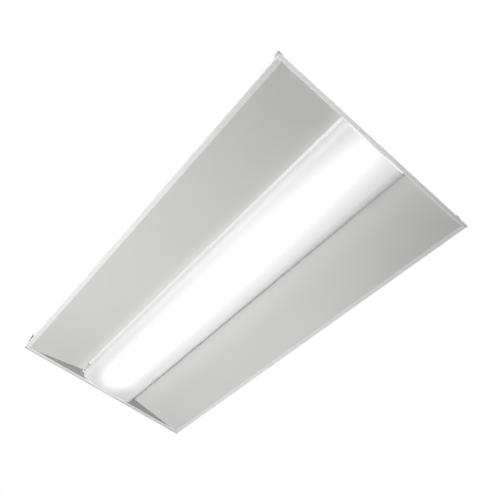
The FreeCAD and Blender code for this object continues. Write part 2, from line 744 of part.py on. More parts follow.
def driver_case():
    """The driver's folded case, with a lead hole in each end."""
    low = DRIVER_BASE + 1.0 + SEAT
    high = DRIVER_BASE + DRIVER_HEIGHT
    half = DRIVER_WIDTH / 2
    start, end = DRIVER_PLACE - DRIVER_LENGTH / 2, DRIVER_PLACE + DRIVER_LENGTH / 2
    outline = [(half, low), (half, high), (-half, high), (-half, low)]
    case = plate(outline, [0, 2.5, 2.5, 0], in_xz, start, end)
    middle = (low + high) / 2
    wells = [prism(5, SHANK_SIDES, (0, y - 3, middle), (0, y + 3, middle)) for y in (start, end)]
    return case.cut(group(wells))


def driver_screws():
    """The two screws through the driver's ears into the tray."""
    top = DRIVER_BASE + 1.0 + SEAT
    return [screw((x, y, top), (x, y, TRAY_HEIGHT - 0.5)) for x, y in driver_screw_places()]


def supply_connector():
    """The push-in connector block that joins the supply to the driver's leads."""
    x, y = supply_connector_place()
    low = TRAY_TOP + SEAT
    outline = [(y - 10, low), (y + 10, low), (y + 10, low + 9), (y + 6, low + 13), (y - 10, low + 13)]
    body = plate(outline, [0.8] * 5, in_yz, x - 12, x + 12)
    ports = [drilled(LEAD_RADIUS + 0.1, (x + dx, y + 3, low + 4), (x + dx, y + 11, low + 4))
             for dx in (-8, 0, 8)]
    entries = [drilled(1.8, (x + dx, y - 11, low + 6.5), (x + dx, y - 2, low + 6.5)) for dx in (-8, 0, 8)]
    return body.cut(group(ports + entries))


def supply_connector_place():
    """Middle of the supply connector."""
    return (-18.0, WIRING_PLACE + 8.0)


def lead(points, bend):
    """A round lead along straight runs joined by tangent arcs."""
    places = [V(*point) for point in points]
    edges = []
    last = places[0]
    for before, corner, after in zip(places, places[1:], places[2:]):
        back = (before - corner).normalize()
        ahead = (after - corner).normalize()
        half = back.getAngle(ahead) / 2
        middle = (back + ahead).normalize()
        reach = bend / math.tan(half)
        first, second = corner + back * reach, corner + ahead * reach
        edges.append(Part.LineSegment(last, first).toShape())
        edges.append(Part.Arc(first, corner + middle * (bend / math.sin(half) - bend), second).toShape())
        last = second
    edges.append(Part.LineSegment(last, places[-1]).toShape())
    path = Part.Wire(edges)
    run = (places[1] - places[0]).normalize()
    section = prism(LEAD_RADIUS, LEAD_SIDES, places[0], places[0] + run).Faces
    ring = min(section, key=lambda face: face.CenterOfMass.distanceToPoint(places[0])).OuterWire
    return path.makePipeShell([ring], True, False)


def driver_lead_height():
    """Height of the leads at the driver's ends."""
    return DRIVER_BASE + (1.0 + SEAT + DRIVER_HEIGHT) / 2


def input_leads():
    """The two leads from the driver's end to the supply connector."""
    x, y = supply_connector_place()
    port = y + 3.2
    low = TRAY_TOP + SEAT + 4
    case = DRIVER_PLACE - DRIVER_LENGTH / 2
    gap = case - DRIVER_EAR - port
    high = driver_lead_height()
    leads = []
    for dx, shift in ((-8, -2), (0, 2)):
        leads.append(lead([(shift, case + 3, high), (shift, port + gap * 0.75, high),
                           (x + dx, port + gap * 0.4, low), (x + dx, port, low)], 5.0))
    return leads


def ground_lead():
    """The ground lead from the supply connector to the ground screw."""
    low = TRAY_TOP + SEAT
    x, y = supply_connector_place()
    end_x, end_y = ground_screw_place()
    return lead([(x + 8, y + 3.2, low + 4), (x + 8, y + 24, low + 4), (end_x, y + 30, low + LEAD_RADIUS),
                 (end_x, end_y + SCREW_HEAD_RADIUS, low + LEAD_RADIUS)], 5.0)


def ground_screw():
    """The ground screw in the tray."""
    x, y = ground_screw_place()
    top = TRAY_TOP + SEAT
    return screw((x, y, top), (x, y, TRAY_HEIGHT))


def lead_grommet():
    """The grommet in the tray's hole for the output leads."""
    y = LEAD_HOLE_PLACE
    low, high = TRAY_HEIGHT - 1.4, TRAY_TOP + 1.4
    neck = LEAD_HOLE_RADIUS - SEAT
    rims = [((low, TRAY_HEIGHT - SEAT / 2)), (TRAY_TOP + SEAT / 2, high)]
    body = prism(neck, COLLAR_SIDES, (0, y, low), (0, y, high))
    body = body.fuse([prism(neck + 1.6, COLLAR_SIDES, (0, y, start), (0, y, end)) for start, end in rims])
    return body.cut(prism(neck - 1.9, COLLAR_SIDES, (0, y, low), (0, y, high))).removeSplitter()


def output_leads():
    """The leads from the driver through the tray to the boards' connectors."""
    high = driver_lead_height()
    start = DRIVER_PLACE + DRIVER_LENGTH / 2 - 3
    y = LEAD_HOLE_PLACE
    below = BOARD_UNDERSIDE - 2.0
    leads = []
    for side in (-1, 1):
        x, end = [place for place in connector_places() if place[0] * side > 0 and place[1] > 0][0]
        x -= side * 2
        leads.append(lead([(side * 2, start, high), (side * 2, y, high), (side * 2, y, below),
                           (x, y - 18, below), (x, end + 5.2, below)], 4.0))
    return leads


# ---- Lens basket -----------------------------------------------------------------------------

def lens_arc_points(shrink):
    """Outline of the lens from its right top edge, round the crown, to its left top edge.

    The crown and the corners are tangent arcs; shrink moves the whole line inwards.
    """
    crown, corner = LENS_CROWN_RADIUS - shrink, LENS_CORNER_RADIUS - shrink
    half = LENS_HALF - shrink
    crown_centre = LENS_CROWN_RADIUS - LENS_DROP
    corner_x = LENS_HALF - LENS_CORNER_RADIUS
    gap = LENS_CROWN_RADIUS - LENS_CORNER_RADIUS
    corner_z = crown_centre - math.sqrt(gap ** 2 - corner_x ** 2)
    lean = math.atan2(corner_x, crown_centre - corner_z)
    join = (crown * math.sin(lean), crown_centre - crown * math.cos(lean))
    turn = (math.pi / 2 - lean) / 2
    middle = (corner_x + corner * math.cos(turn), corner_z - corner * math.sin(turn))
    wall = (half, corner_z)
    low = (0, crown_centre - crown)
    right = [((half, LENS_TOP), wall), (wall, middle, join)]
    left = [tuple((-point[0], point[1]) for point in reversed(piece)) for piece in reversed(right)]
    return right + [(join, low, left[0][0])] + left


def backwards(pieces):
    """The same run of lines and arcs, followed the other way."""
    return [tuple(reversed(piece)) for piece in reversed(pieces)]


def diffuser():
    """The translucent lens: upright walls, rounded corners and a shallow crown."""
    outer = lens_arc_points(0)
    inner = lens_arc_points(LENS_WALL)
    rim_left = (outer[-1][-1], inner[-1][-1])
    rim_right = (inner[0][0], outer[0][0])
    return extruded(outer + [rim_left] + backwards(inner) + [rim_right], in_xz, -LENS_END, LENS_END)


def lens_rail():
    """The right-hand rail: a folded channel over the lens's top edge."""
    outer = LENS_HALF + SEAT
    inner = LENS_HALF - LENS_WALL - SEAT
    top = LENS_TOP + SEAT
    face = [(outer, top - LENS_RAIL_SKIRT), (outer, top), (inner, top), (inner, top - LENS_RAIL_LEG)]
    return bent_sheet(face, LENS_RAIL_SHEET, -1, 0.3, in_xz, -LENS_END, LENS_END)


def lens_cap():
    """The near end cap of the lens, with its hinge ear and the flange between the rails."""
    top = LENS_TOP + SEAT + LENS_RAIL_SHEET
    run = lens_arc_points(0)
    left, right = (-LENS_HALF, top), (LENS_HALF, top)
    run = [(right, run[0][1])] + run[1:-1] + [(run[-1][0], left), (left, right)]
    sheet = extruded(run, in_xz, -CAP_OUTER, -CAP_INNER)
    x, z = LENS_HINGE_X, LENS_HINGE_HEIGHT
    ear = rod(LENS_EAR_RADIUS, (x, -CAP_OUTER, z), (x, -CAP_INNER, z))
    neck = box((x, -LENS_HALF + 4), (-CAP_OUTER, -CAP_INNER), (z - LENS_EAR_RADIUS, z + LENS_EAR_RADIUS))
    leg = LENS_HALF - LENS_WALL - 2 * SEAT - LENS_RAIL_SHEET
    flange = box((-leg, leg), (-CAP_INNER, -CAP_INNER + 12), (top - LENS_RAIL_SHEET, top))
    hole = rod(LENS_PIN_RADIUS, (x, -CAP_OUTER - 1, z), (x, -CAP_INNER + 1, z))
    return sheet.fuse([ear, neck, flange]).cut(hole).removeSplitter()


def lens_pin():
    """The near hinge pin: a headed pin through the cap's ear and the end plate, with its ring."""
    x, z = LENS_HINGE_X, LENS_HINGE_HEIGHT
    shank = rod(LENS_PIN_RADIUS, (x, -END_OUTER - 2.4, z), (x, -CAP_INNER + 0.2, z))
    head = prism(LENS_PIN_RADIUS + 1.5, SHANK_SIDES, (x, -CAP_INNER + 0.1, z), (x, -CAP_INNER + 1.6, z))
    ring = prism(LENS_PIN_RADIUS + 2.0, SHANK_SIDES, (x, -END_OUTER - 1.4, z), (x, -END_OUTER - 0.3, z))
    return shank.fuse([head, ring])


def lens_catch():
    """The near leaf catch: a bowed spring on the end cap that bears on the end plate."""
    x = LENS_HALF - 22
    thick = 0.4
    rise = LENS_END_GAP - thick - 0.3
    base = -CAP_OUTER - 0.02
    face = [(base, 12.0), (base, 18.0), (base - rise, 22.0), (base - rise, 26.0), (base, 30.0), (base, 34.0)]
    return bent_sheet(face, thick, 1, 0.5, in_yz, x - 6, x + 6)


# ---- Grid clips ------------------------------------------------------------------------------

def grid_clip():
    """The clip on the near right shelf: an arm that swings out over the ceiling grid's bar."""
    half = CLIP_WIDTH / 2
    tip = CLIP_X - CLIP_REACH
    top = CLIP_BASE + CLIP_SHEET
    face = [(tip, CLIP_BASE - CLIP_TAB), (tip, CLIP_BASE), (CLIP_X, CLIP_BASE)]
    arm = bent_sheet(face, CLIP_SHEET, 1, 0.8, in_xz, -CLIP_Y - half, -CLIP_Y + half)
    eye = rod(half, (CLIP_X, -CLIP_Y, CLIP_BASE), (CLIP_X, -CLIP_Y, top))
    hole = CLIP_PIVOT_RADIUS + RUNNING_CLEARANCE
    bore = rod(hole, (CLIP_X, -CLIP_Y, CLIP_BASE - 1), (CLIP_X, -CLIP_Y, top + 1))
    return arm.fuse(eye).cut(bore).removeSplitter()


def clip_rivet():
    """The shoulder rivet that the near right clip swings on."""
    x, y = CLIP_X, -CLIP_Y
    top = CLIP_BASE + CLIP_SHEET + SEAT
    low = SHELF_HEIGHT - END_SHEET - SEAT / 2
    shank = rod(CLIP_PIVOT_RADIUS - 0.01, (x, y, low), (x, y, top))
    head = prism(CLIP_PIVOT_RADIUS + 1.8, SHANK_SIDES, (x, y, top), (x, y, top + 1.2))
    tail = prism(CLIP_PIVOT_RADIUS + 1.2, SHANK_SIDES, (x, y, low), (x, y, low - 0.8))
    return shank.fuse([head, tail])


# ---- Rivets and screws -----------------------------------------------------------------------

def rivet(outer, inner):
    """A rivet with its head at the outer point and its formed tail at the inner one."""
    run = V(*inner) - V(*outer)
    along = V(run).normalize()
    start = V(*outer) - along * (SEAT / 2)
    end = V(*inner) + along * (SEAT / 2)
    shank = prism(RIVET_RADIUS - 0.02, SHANK_SIDES, start, end)
    head = prism(RIVET_HEAD_RADIUS, SHANK_SIDES, start, start - along * RIVET_HEAD)
    tail = prism(RIVET_HEAD_RADIUS * 0.75, 6, end, end + along * RIVET_HEAD)
    return shank.fuse([head, tail]).removeSplitter()


def screw(seat, tip):
    """A hexagon-headed screw whose head stands on a seat, with its shank down to a tip."""
    along = (V(*tip) - V(*seat)).normalize()
    head = prism(SCREW_HEAD_RADIUS, 6, V(*seat), V(*seat) - along * SCREW_HEAD)
    return head.fuse(prism(SCREW_RADIUS - SEAT / 2, SHANK_SIDES, V(*seat), V(*tip))).removeSplitter()


def end_plate_rivets():
    """The rivets through the end plates and the reflectors' end tabs."""
    rivets = []
    for end in (-1, 1):
        for side in (-1, 1):
            for x in reflector_tab_places():
                z = tab_rivet_height(x)
                rivets.append(rivet((side * x, end * END_OUTER, z),
                                    (side * x, end * (REFLECTOR_END - REFLECTOR_SHEET), z)))
    return rivets


def channel_rivets():
    """The rivets through the channel's walls and the reflectors' returns."""
    z = return_rivet_height()
    return [rivet((side * CHANNEL_OUTER, y, z), (side * WELL_HALF, y, z))
            for side in (-1, 1) for y in channel_rivet_places()]


def tray_rivets():
    """The rivets through the channel's walls and the gear tray's legs."""
    z = tray_rivet_height()
    return [rivet((side * CHANNEL_OUTER, y, z), (side * (RETURN_OUTER - TRAY_SHEET), y, z))
            for side in (-1, 1) for y in tray_rivet_places()]


def leaf_rivets():
    """The rivets through the hinge leaf and the channel's top."""
    y = leaf_rivet_line()
    return [rivet((x, y, COVER_BASE + COVER_SHEET), (x, y, CHANNEL_TOP - CHANNEL_SHEET))
            for x in leaf_rivet_places()]


def cap_rivets():
    """The rivets through the leaning caps' feet and the end plates."""
    z = CAP_RIVET_HEIGHT
    return [rivet((x, end * (END_OUTER + SEAT + END_SHEET), z), (x, end * END_INNER, z))
            for end in (-1, 1) for x in (-CAP_RIVET_PLACE, CAP_RIVET_PLACE)]


def cap_screws():
    """The screws through the leaning caps' returns into the channel."""
    return [screw((x, end * cap_screw_line(), HOUSING_DEPTH + SEAT / 2),
                  (x, end * cap_screw_line(), CHANNEL_TOP - CHANNEL_SHEET - 3))
            for end in (-1, 1) for x in cap_screw_places()]


# ---- Nodes -----------------------------------------------------------------------------------

def nodes():
    """Every sub-part by its node's name."""
    parts = {}
    parts["reflector_right"] = reflector()
    parts["reflector_left"] = mirrored_x(parts["reflector_right"])
    near_plate = end_plate()
    parts["end_plate_near"] = near_plate
    parts["end_plate_far"] = mirrored_y(near_plate)
    parts["back_channel"] = back_channel()
    braces = [reflector_brace(y) for y in brace_places()]
    parts["reflector_braces_right"] = group(braces)
    parts["reflector_braces_left"] = group([mirrored_x(brace) for brace in braces])
    parts["end_plate_rivets"] = group(end_plate_rivets())
    parts["channel_rivets"] = group(channel_rivets())
    parts["channel_cap_near"] = channel_cap()
    parts["channel_cap_far"] = mirrored_y(parts["channel_cap_near"])
    parts["channel_cap_rivets"] = group(cap_rivets())
    parts["channel_cap_screws"] = group(cap_screws())

    parts["wiring_cover"] = wiring_cover()
    parts["knockout_slug"] = knockout_slug()
    parts["wiring_bushing"] = wiring_bushing()
    parts["cover_screw"] = cover_screw()
    parts["cover_hinge_leaf"] = hinge_leaf()
    parts["cover_hinge_pin"] = hinge_pin()
    parts["hinge_leaf_rivets"] = group(leaf_rivets())

    parts["gear_tray"] = gear_tray()
    parts["tray_rivets"] = group(tray_rivets())
    sources = []
    for number, (x, y) in enumerate(board_places(), 1):
        parts["led_board_%d" % number] = led_board(x, y)
        sources += led_packages(x, y)
    parts["led_packages"] = group(sources)
    parts["board_screws"] = group([board_screw(x, y) for x, y in board_screw_places()])
    parts["board_connectors"] = group([board_connector(x, y) for x, y in connector_places()])
    parts["driver_base"] = driver_base()
    parts["driver_case"] = driver_case()
    parts["driver_screws"] = group(driver_screws())
    parts["supply_connector"] = supply_connector()
    parts["driver_input_leads"] = group(input_leads())
    parts["driver_output_leads"] = group(output_leads())
    parts["lead_grommet"] = lead_grommet()
    parts["ground_lead"] = ground_lead()
    parts["ground_screw"] = ground_screw()

    parts["diffuser"] = diffuser()
    parts["lens_rail_right"] = lens_rail()
    parts["lens_rail_left"] = mirrored_x(parts["lens_rail_right"])
    parts["lens_cap_near"] = lens_cap()
    parts["lens_cap_far"] = mirrored_y(parts["lens_cap_near"])
    parts["lens_hinge_pins"] = group([lens_pin(), mirrored_y(lens_pin())])
    parts["lens_catch_near"] = lens_catch()
    parts["lens_catch_far"] = mirrored_y(parts["lens_catch_near"])

    clip, pivot = grid_clip(), clip_rivet()
    parts["grid_clip_near_right"] = clip
    parts["grid_clip_near_left"] = mirrored_x(clip)
    parts["grid_clip_far_right"] = mirrored_y(clip)
    parts["grid_clip_far_left"] = mirrored_y(mirrored_x(clip))
    pivots = [pivot, mirrored_x(pivot)]
    parts["grid_clip_rivets"] = group(pivots + [mirrored_y(each) for each in pivots])
    return parts


def main():
    """Writes one STEP file for each node."""
    os.makedirs("parts", exist_ok=True)
    for name, shape in nodes().items():
        solids = shape.Solids
        print("%-24s %3d solids %10.1f mm3 valid %s" % (name, len(solids), shape.Volume, shape.isValid()))
        shape.exportStep("parts/%s.step" % name)


main()
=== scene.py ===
"""Looks of a recessed troffer light: finishes, fasteners, light sources, studio and camera.

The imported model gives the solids. This file gives each of them its finish, and puts round
rivets, pins, collars and leads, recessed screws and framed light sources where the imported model
has flat-sided ones.
"""
import logging
import math
from abc import ABC, abstractmethod
from dataclasses import dataclass
from enum import Enum
from typing import ClassVar, Iterator, Sequence

import bmesh
import bpy
from mathutils import Matrix, Vector


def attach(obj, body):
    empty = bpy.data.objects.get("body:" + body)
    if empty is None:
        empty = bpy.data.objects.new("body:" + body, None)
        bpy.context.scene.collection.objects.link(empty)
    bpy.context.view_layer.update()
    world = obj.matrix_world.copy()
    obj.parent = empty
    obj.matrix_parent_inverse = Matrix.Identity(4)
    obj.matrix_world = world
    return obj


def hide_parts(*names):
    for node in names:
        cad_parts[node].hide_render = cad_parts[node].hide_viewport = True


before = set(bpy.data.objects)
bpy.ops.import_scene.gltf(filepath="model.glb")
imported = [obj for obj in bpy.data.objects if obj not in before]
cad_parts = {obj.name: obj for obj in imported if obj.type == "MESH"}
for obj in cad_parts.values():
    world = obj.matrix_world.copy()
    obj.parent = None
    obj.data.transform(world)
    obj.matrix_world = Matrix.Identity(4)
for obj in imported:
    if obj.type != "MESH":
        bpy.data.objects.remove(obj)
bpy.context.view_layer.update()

LOG = logging.getLogger("troffer")
MM = 0.001

# Vertices closer than this, in metres, become one.
CAD_MERGE = 1e-6
TURNED_MERGE = 1e-7
CROWN_MERGE = 2e-6

Colour = tuple[float, float, float]
Profile = tuple[tuple[float, float], ...]  # Radii and heights, in millimetres.
Span = tuple[float, float]  # Where a smooth step starts, and where it ends.
Value = "Socket | float | tuple"

BLACK: Colour = (0.0, 0.0, 0.0)
WHITE: Colour = (1.0, 1.0, 1.0)


# ---- Shader graph ----------------------------------------------------------------------------

class Socket:
    """An output of a shader node that takes part in arithmetic."""

    def __init__(self, graph: "Graph", out: bpy.types.NodeSocket) -> None:
        """Wraps one output.

        Args:
            graph: The graph that the node stands in.
            out: The node's output.
        """
        self.graph = graph
        self.out = out

    def maths(self, operation: str, first: Value, second: Value = 0.0) -> "Socket":
        """The result of one Math node.

        Args:
            operation: The node's operation.
            first: Its first value.
            second: Its second value.

        Returns:
            The node's output.
        """
        return self.graph.node("ShaderNodeMath", {0: first, 1: second}, operation=operation)[0]

    def __add__(self, other: Value) -> "Socket":
        """self + other."""
        return self.maths("ADD", self, other)

    __radd__ = __add__

    def __sub__(self, other: Value) -> "Socket":
        """self - other."""
        return self.maths("SUBTRACT", self, other)

    def __rsub__(self, other: Value) -> "Socket":
        """other - self."""
        return self.maths("SUBTRACT", other, self)

    def __mul__(self, other: Value) -> "Socket":
        """self * other."""
        return self.maths("MULTIPLY", self, other)

    def __pow__(self, other: Value) -> "Socket":
        """self to a power."""
        return self.maths("POWER", self, other)

    def __abs__(self) -> "Socket":
        """The size of self, without its sign."""
        return self.maths("ABSOLUTE", self)

    def at_least(self, other: Value) -> "Socket":
        """The greater of self and another value."""
        return self.maths("MAXIMUM", self, other)

    def swing(self, size: float) -> "Socket":
        """A value round zero of a given size, from one round a half."""
        return (self - 0.5) * size

    def eased(self, low: float, high: float, start: float = 0.0, end: float = 1.0) -> "Socket":
        """A smooth step from one value to another as self goes from low to high.

        Args:
            low: Where the step starts.
            high: Where it ends.
            start: The value before the step.
            end: The value after it.

        Returns:
            The stepped value.
        """
        return self.graph.node("ShaderNodeMapRange", {
            "Value": self, "From Min": low, "From Max": high, "To Min": start, "To Max": end,
        }, interpolation_type="SMOOTHSTEP")["Result"]


class Made:
    """A node whose outputs are read by name or number."""

    def __init__(self, graph: "Graph", node: bpy.types.Node) -> None:
        """Wraps one node."""
        self.graph = graph
        self.made = node

    def __getitem__(self, key: str | int) -> Socket:
        """One output of the node."""
        return Socket(self.graph, self.made.outputs[key])


class Graph:
    """The node tree of one material or of the world."""

    def __init__(self, tree: bpy.types.NodeTree) -> None:
        """Starts from an empty tree."""
        self.tree = tree
        tree.nodes.clear()

    def node(self, kind: str, inputs: dict | None = None, **settings: object) -> Made:
        """Adds a node.

        Args:
            kind: The node's type.
            inputs: Values or sockets for its inputs, by name or number.
            **settings: Its settings, which are set first.

        Returns:
            The node.
        """
        made = self.tree.nodes.new(kind)
        for key, value in settings.items():
            setattr(made, key, value)
        for key, value in (inputs or {}).items():
            if isinstance(value, Socket):
                self.tree.links.new(value.out, made.inputs[key])
            else:
                made.inputs[key].default_value = value
        return Made(self, made)

    def place(self) -> Socket:
        """Object coordinates, in metres."""
        return self.node("ShaderNodeTexCoord")["Object"]

    def axes(self) -> tuple[Socket, Socket, Socket]:
        """The three object coordinates, in metres."""
        parts = self.node("ShaderNodeSeparateXYZ", {0: self.place()})
        return parts["X"], parts["Y"], parts["Z"]

    def noise(self, scale: float, detail: float = 2.0, stretch: tuple = (1.0, 1.0, 1.0)) -> Socket:
        """A cloudy value round one half.

        Args:
            scale: Clouds to a metre.
            detail: How fine the clouds' edges are.
            stretch: How much tighter the clouds are along each axis.

        Returns:
            The value.
        """
        place = self.node("ShaderNodeMapping", {"Vector": self.place(), "Scale": stretch})
        return self.node("ShaderNodeTexNoise", {
            "Vector": place["Vector"], "Scale": scale, "Detail": detail})["Fac"]

    def tint(self, factor: Value, first: Value, second: Value) -> Socket:
        """A colour between two others.

        Args:
            factor: How far it is from the first to the second.
            first: A colour or a socket.
            second: A colour or a socket.

        Returns:
            The colour.
        """
        first, second = (c if isinstance(c, Socket) else (*c, 1.0) for c in (first, second))
        # Inputs 6 and 7 of a Mix node are its two colours, and output 2 is their mix.
        mixed = self.node("ShaderNodeMix", {0: factor, 6: first, 7: second}, data_type="RGBA")
        return mixed[2]

    def bump(self, height: Value, strength: float, depth: float) -> Socket:
        """A normal disturbed by a height.

        Args:
            height: The height, in units of depth.
            strength: How much of it shows.
            depth: The size of one unit, in metres.

        Returns:
            The normal.
        """
        return self.node("ShaderNodeBump", {
            "Height": height, "Strength": strength, "Distance": depth})["Normal"]

    def surface(self, **inputs: Value) -> Made:
        """A principled surface, with underscores for the spaces of its sockets' names."""
        named = {key.replace("_", " "): value for key, value in inputs.items()}
        return self.node("ShaderNodeBsdfPrincipled", named)

    def finish(self, shader: Made, kind: str = "ShaderNodeOutputMaterial") -> None:
        """Joins a shader to the output.

        Args:
            shader: The shader.
            kind: The output's type.
        """
        self.node(kind, {"Surface": shader[0]})


# ---- Finishes --------------------------------------------------------------------------------

def dimmed(colour: Colour, share: float) -> Colour:
    """A colour whose channels are all the same share of another's.

    Args:
        colour: The other colour.
        share: The share, above 1 for a lighter colour.

    Returns:
        The colour.
    """
    return tuple(channel * share for channel in colour)


def emission(graph: Graph, level: Value) -> dict[str, Value]:
    """The inputs that make a surface give off white light.

    Args:
        graph: The surface's graph.
        level: How bright the light is.

    Returns:
        The inputs, by name.
    """
    return {"Emission_Color": graph.tint(level, BLACK, WHITE), "Emission_Strength": 1.0}


@dataclass(frozen=True)
class Finish(ABC):
    """A finish that makes its material once.

    Its places and depths are in metres, and its scales are clouds to a metre.
    """

    name: str

    @abstractmethod
    def lay(self, graph: Graph) -> None:
        """Builds the finish's nodes."""

    def material(self) -> bpy.types.Material:
        """The finish's material."""
        known = bpy.data.materials.get(self.name)
        if known:
            return known
        made = bpy.data.materials.new(self.name)
        made.use_nodes = True
        self.lay(Graph(made.node_tree))
        return made


@dataclass(frozen=True)
class PowderCoat(Finish):
    """Baked matte paint on steel sheet, with a fine orange peel and faint settled dust."""

    colour: Colour = (0.80, 0.80, 0.79)
    roughness: float = 0.55
    peel: float = 0.10
    dust: float = 0.955
    cloud_scale: float = 5.0
    speckle_scale: float = 220.0
    peel_scale: float = 900.0
    peel_depth: float = 0.0003
    dust_edges: Span = (0.35, 0.75)
    cloud_dust: float = 0.55
    speckle_dust: float = 0.25
    cloud_gloss: float = 0.10
    speckle_gloss: float = 0.14

    def tone(self, graph: Graph, colour: Socket) -> Socket:
        """The paint's colour, which a finish of one sheet can change from place to place."""
        return colour

    def glow(self, graph: Graph) -> dict[str, Value]:
        """What the surface gives off, which is nothing for plain paint."""
        return {}

    def lay(self, graph: Graph) -> None:
        """Builds the paint."""
        broad = graph.noise(self.cloud_scale, detail=3.0)
        fine = graph.noise(self.speckle_scale)
        peel = graph.noise(self.peel_scale, detail=1.0)
        settled = broad.eased(*self.dust_edges) * self.cloud_dust + fine * self.speckle_dust
        colour = graph.tint(settled, self.colour, dimmed(self.colour, self.dust))
        graph.finish(graph.surface(
            Base_Color=self.tone(graph, colour),
            Roughness=(self.roughness + fine.swing(self.speckle_gloss)
                       + broad.swing(self.cloud_gloss)),
            Normal=graph.bump(peel, self.peel, self.peel_depth),
            **self.glow(graph)))


@dataclass(frozen=True)
class ReflectorCoat(PowderCoat):
    """Paint with painted shade on the sloping panel, a painted shadow in the near right corner,
    and painted light again at the lamp well.
    """

    # Shares of the colour: painted shade on the panel, painted light at the well, painted shadow
    # in the corner.
    painted_panel_shade: float = 0.77
    painted_well_light: float = 0.84
    painted_corner_shade: float = 0.69
    flange_foot: float = 0.2874
    well_edge: float = 0.105
    well_light_fade_left: float = 0.030
    well_light_fade_right: float = 0.095
    corner_shade_across: Span = (0.15, 0.29)
    corner_shade_along: Span = (-0.60, -0.10)
    foot_blend: float = 0.0008

    def tone(self, graph: Graph, colour: Socket) -> Socket:
        """The flange's plain paint outside the panel's foot, and the panel's painted shade and
        light inside it.
        """
        x, y, _ = graph.axes()
        # Painted shade on the panel, painted light beside the lamp well, and a painted shadow in
        # the near right corner.
        panel, well, corner = (dimmed(self.colour, tone) for tone in (
            self.painted_panel_shade, self.painted_well_light, self.painted_corner_shade))
        left = x.eased(-self.well_edge - self.well_light_fade_left, -self.well_edge)
        right = x.eased(self.well_edge, self.well_edge + self.well_light_fade_right)
        corner_shade_mask = x.eased(*self.corner_shade_across) * y.eased(*self.corner_shade_along, 1.0, 0.0)
        painted_panel_shading = graph.tint(corner_shade_mask, graph.tint(left - right, panel, well), corner)
        outer = abs(x).eased(self.flange_foot, self.flange_foot + self.foot_blend)
        return graph.tint(outer, painted_panel_shading, colour)


@dataclass(frozen=True)
class EndPlateCoat(PowderCoat):
    """Paint with a painted highlight on the flange's bend, painted light and shade along the
    flanges, and painted shade on the inner wall and the posts.
    """

    # Shares of the colour: painted shade on the wall, painted light and shade on the near flange,
    # painted shade on the far flange.
    painted_wall_shade: float = 0.66
    painted_near_left_light: float = 1.19
    painted_near_right_shade: float = 0.95
    painted_far_shade: float = 0.84
    painted_bend_highlight: Colour = (0.96, 0.96, 0.95)
    near_light_across: Span = (-0.10, 0.29)
    ends: Span = (-0.1, 0.1)
    bend: Span = (0.0001, 0.0004)
    wall_foot: Span = (0.0030, 0.0040)
    wall_top: Span = (0.0335, 0.0355)
    sheet_middle: Span = (0.5962, 0.5968)

    def tone(self, graph: Graph, colour: Socket) -> Socket:
        """The flanges' painted light and shade, the bend's painted highlight and the wall's
        painted shade, by height and side.
        """
        x, y, z = graph.axes()
        # Painted shade on the wall's inner face and the posts, painted light and shade on the
        # flanges, and a painted highlight on the bend.
        inner, near_left, near_right, far = (dimmed(self.colour, tone) for tone in (
            self.painted_wall_shade, self.painted_near_left_light, self.painted_near_right_shade, self.painted_far_shade))
        near = graph.tint(x.eased(*self.near_light_across), near_left, near_right)
        flange = graph.tint(y.eased(*self.ends), near, far)
        foot = graph.tint(z.eased(*self.bend), flange, self.painted_bend_highlight)
        outside = abs(y).eased(*self.sheet_middle)
        low = z.eased(*self.wall_top, 1.0, 0.0)
        wall = graph.tint(outside * low, inner, colour)
        return graph.tint(z.eased(*self.wall_foot), foot, wall)


@dataclass(frozen=True)
class WellPaintWithPaintedGlow(PowderCoat):
    """Paint over the lamp well, with a painted glow along both sides of its underside in place of
    the light that the boards send back.
    """

    underside: Span = (0.0575, 0.0577)
    strip: Span = (0.050, 0.094)
    sides: Span = (-0.02, 0.02)
    painted_glow_left: float = 0.27
    painted_glow_right: float = 0.25

    def glow(self, graph: Graph) -> dict[str, Value]:
        """The painted glow on the strips of the underside that show past the lens."""
        x, _, z = graph.axes()
        # Painted glow: the paint gives off light where the boards' light would fall past the lens.
        side = x.eased(*self.sides, self.painted_glow_left, self.painted_glow_right)
        level = abs(x).eased(*self.strip) * side * z.eased(*self.underside, 1.0, 0.0)
        return emission(graph, level)


@dataclass(frozen=True)
class PaintedGlowCoat(PowderCoat):
    """White paint on the lens's end caps and rails, with a painted glow in place of the lens's
    light.
    """

    level: float = 0.50
    glow_scale: float = 14.0
    glow_edges: Span = (0.2, 0.8)
    dim_share: float = 0.9

    def glow(self, graph: Graph) -> dict[str, Value]:
        """A soft, slightly uneven painted glow."""
        cloud = graph.noise(self.glow_scale)
        dim = self.level * self.dim_share
        return emission(graph, cloud.eased(*self.glow_edges, dim, self.level))


@dataclass(frozen=True)
class ZincSheet(Finish):
    """Zinc-coated sheet: grey crystals of slightly different tone and gloss."""

    colour: Colour = (0.47, 0.48, 0.49)
    crystal: float = 130.0
    haze_scale: float = 26.0
    grain_scale: float = 500.0
    dark_share: float = 0.78
    crystal_shade: float = 0.65
    haze_shade: float = 0.3
    roughness: float = 0.36
    crystal_gloss: float = 0.14
    haze_gloss: float = 0.12
    grain: float = 0.12
    grain_depth: float = 0.0002

    def lay(self, graph: Graph) -> None:
        """Builds the spangle."""
        cells = graph.node("ShaderNodeTexVoronoi", {
            "Vector": graph.place(), "Scale": self.crystal, "Randomness": 1.0})
        tone = graph.node("ShaderNodeSeparateColor", {0: cells["Color"]})["Red"]
        haze = graph.noise(self.haze_scale, detail=4.0)
        shade = tone * self.crystal_shade + haze * self.haze_shade
        grain = graph.noise(self.grain_scale)
        graph.finish(graph.surface(
            Base_Color=graph.tint(shade, self.colour, dimmed(self.colour, self.dark_share)),
            Metallic=1.0,
            Roughness=self.roughness + tone * self.crystal_gloss + haze.swing(self.haze_gloss),
            Normal=graph.bump(grain, self.grain, self.grain_depth)))


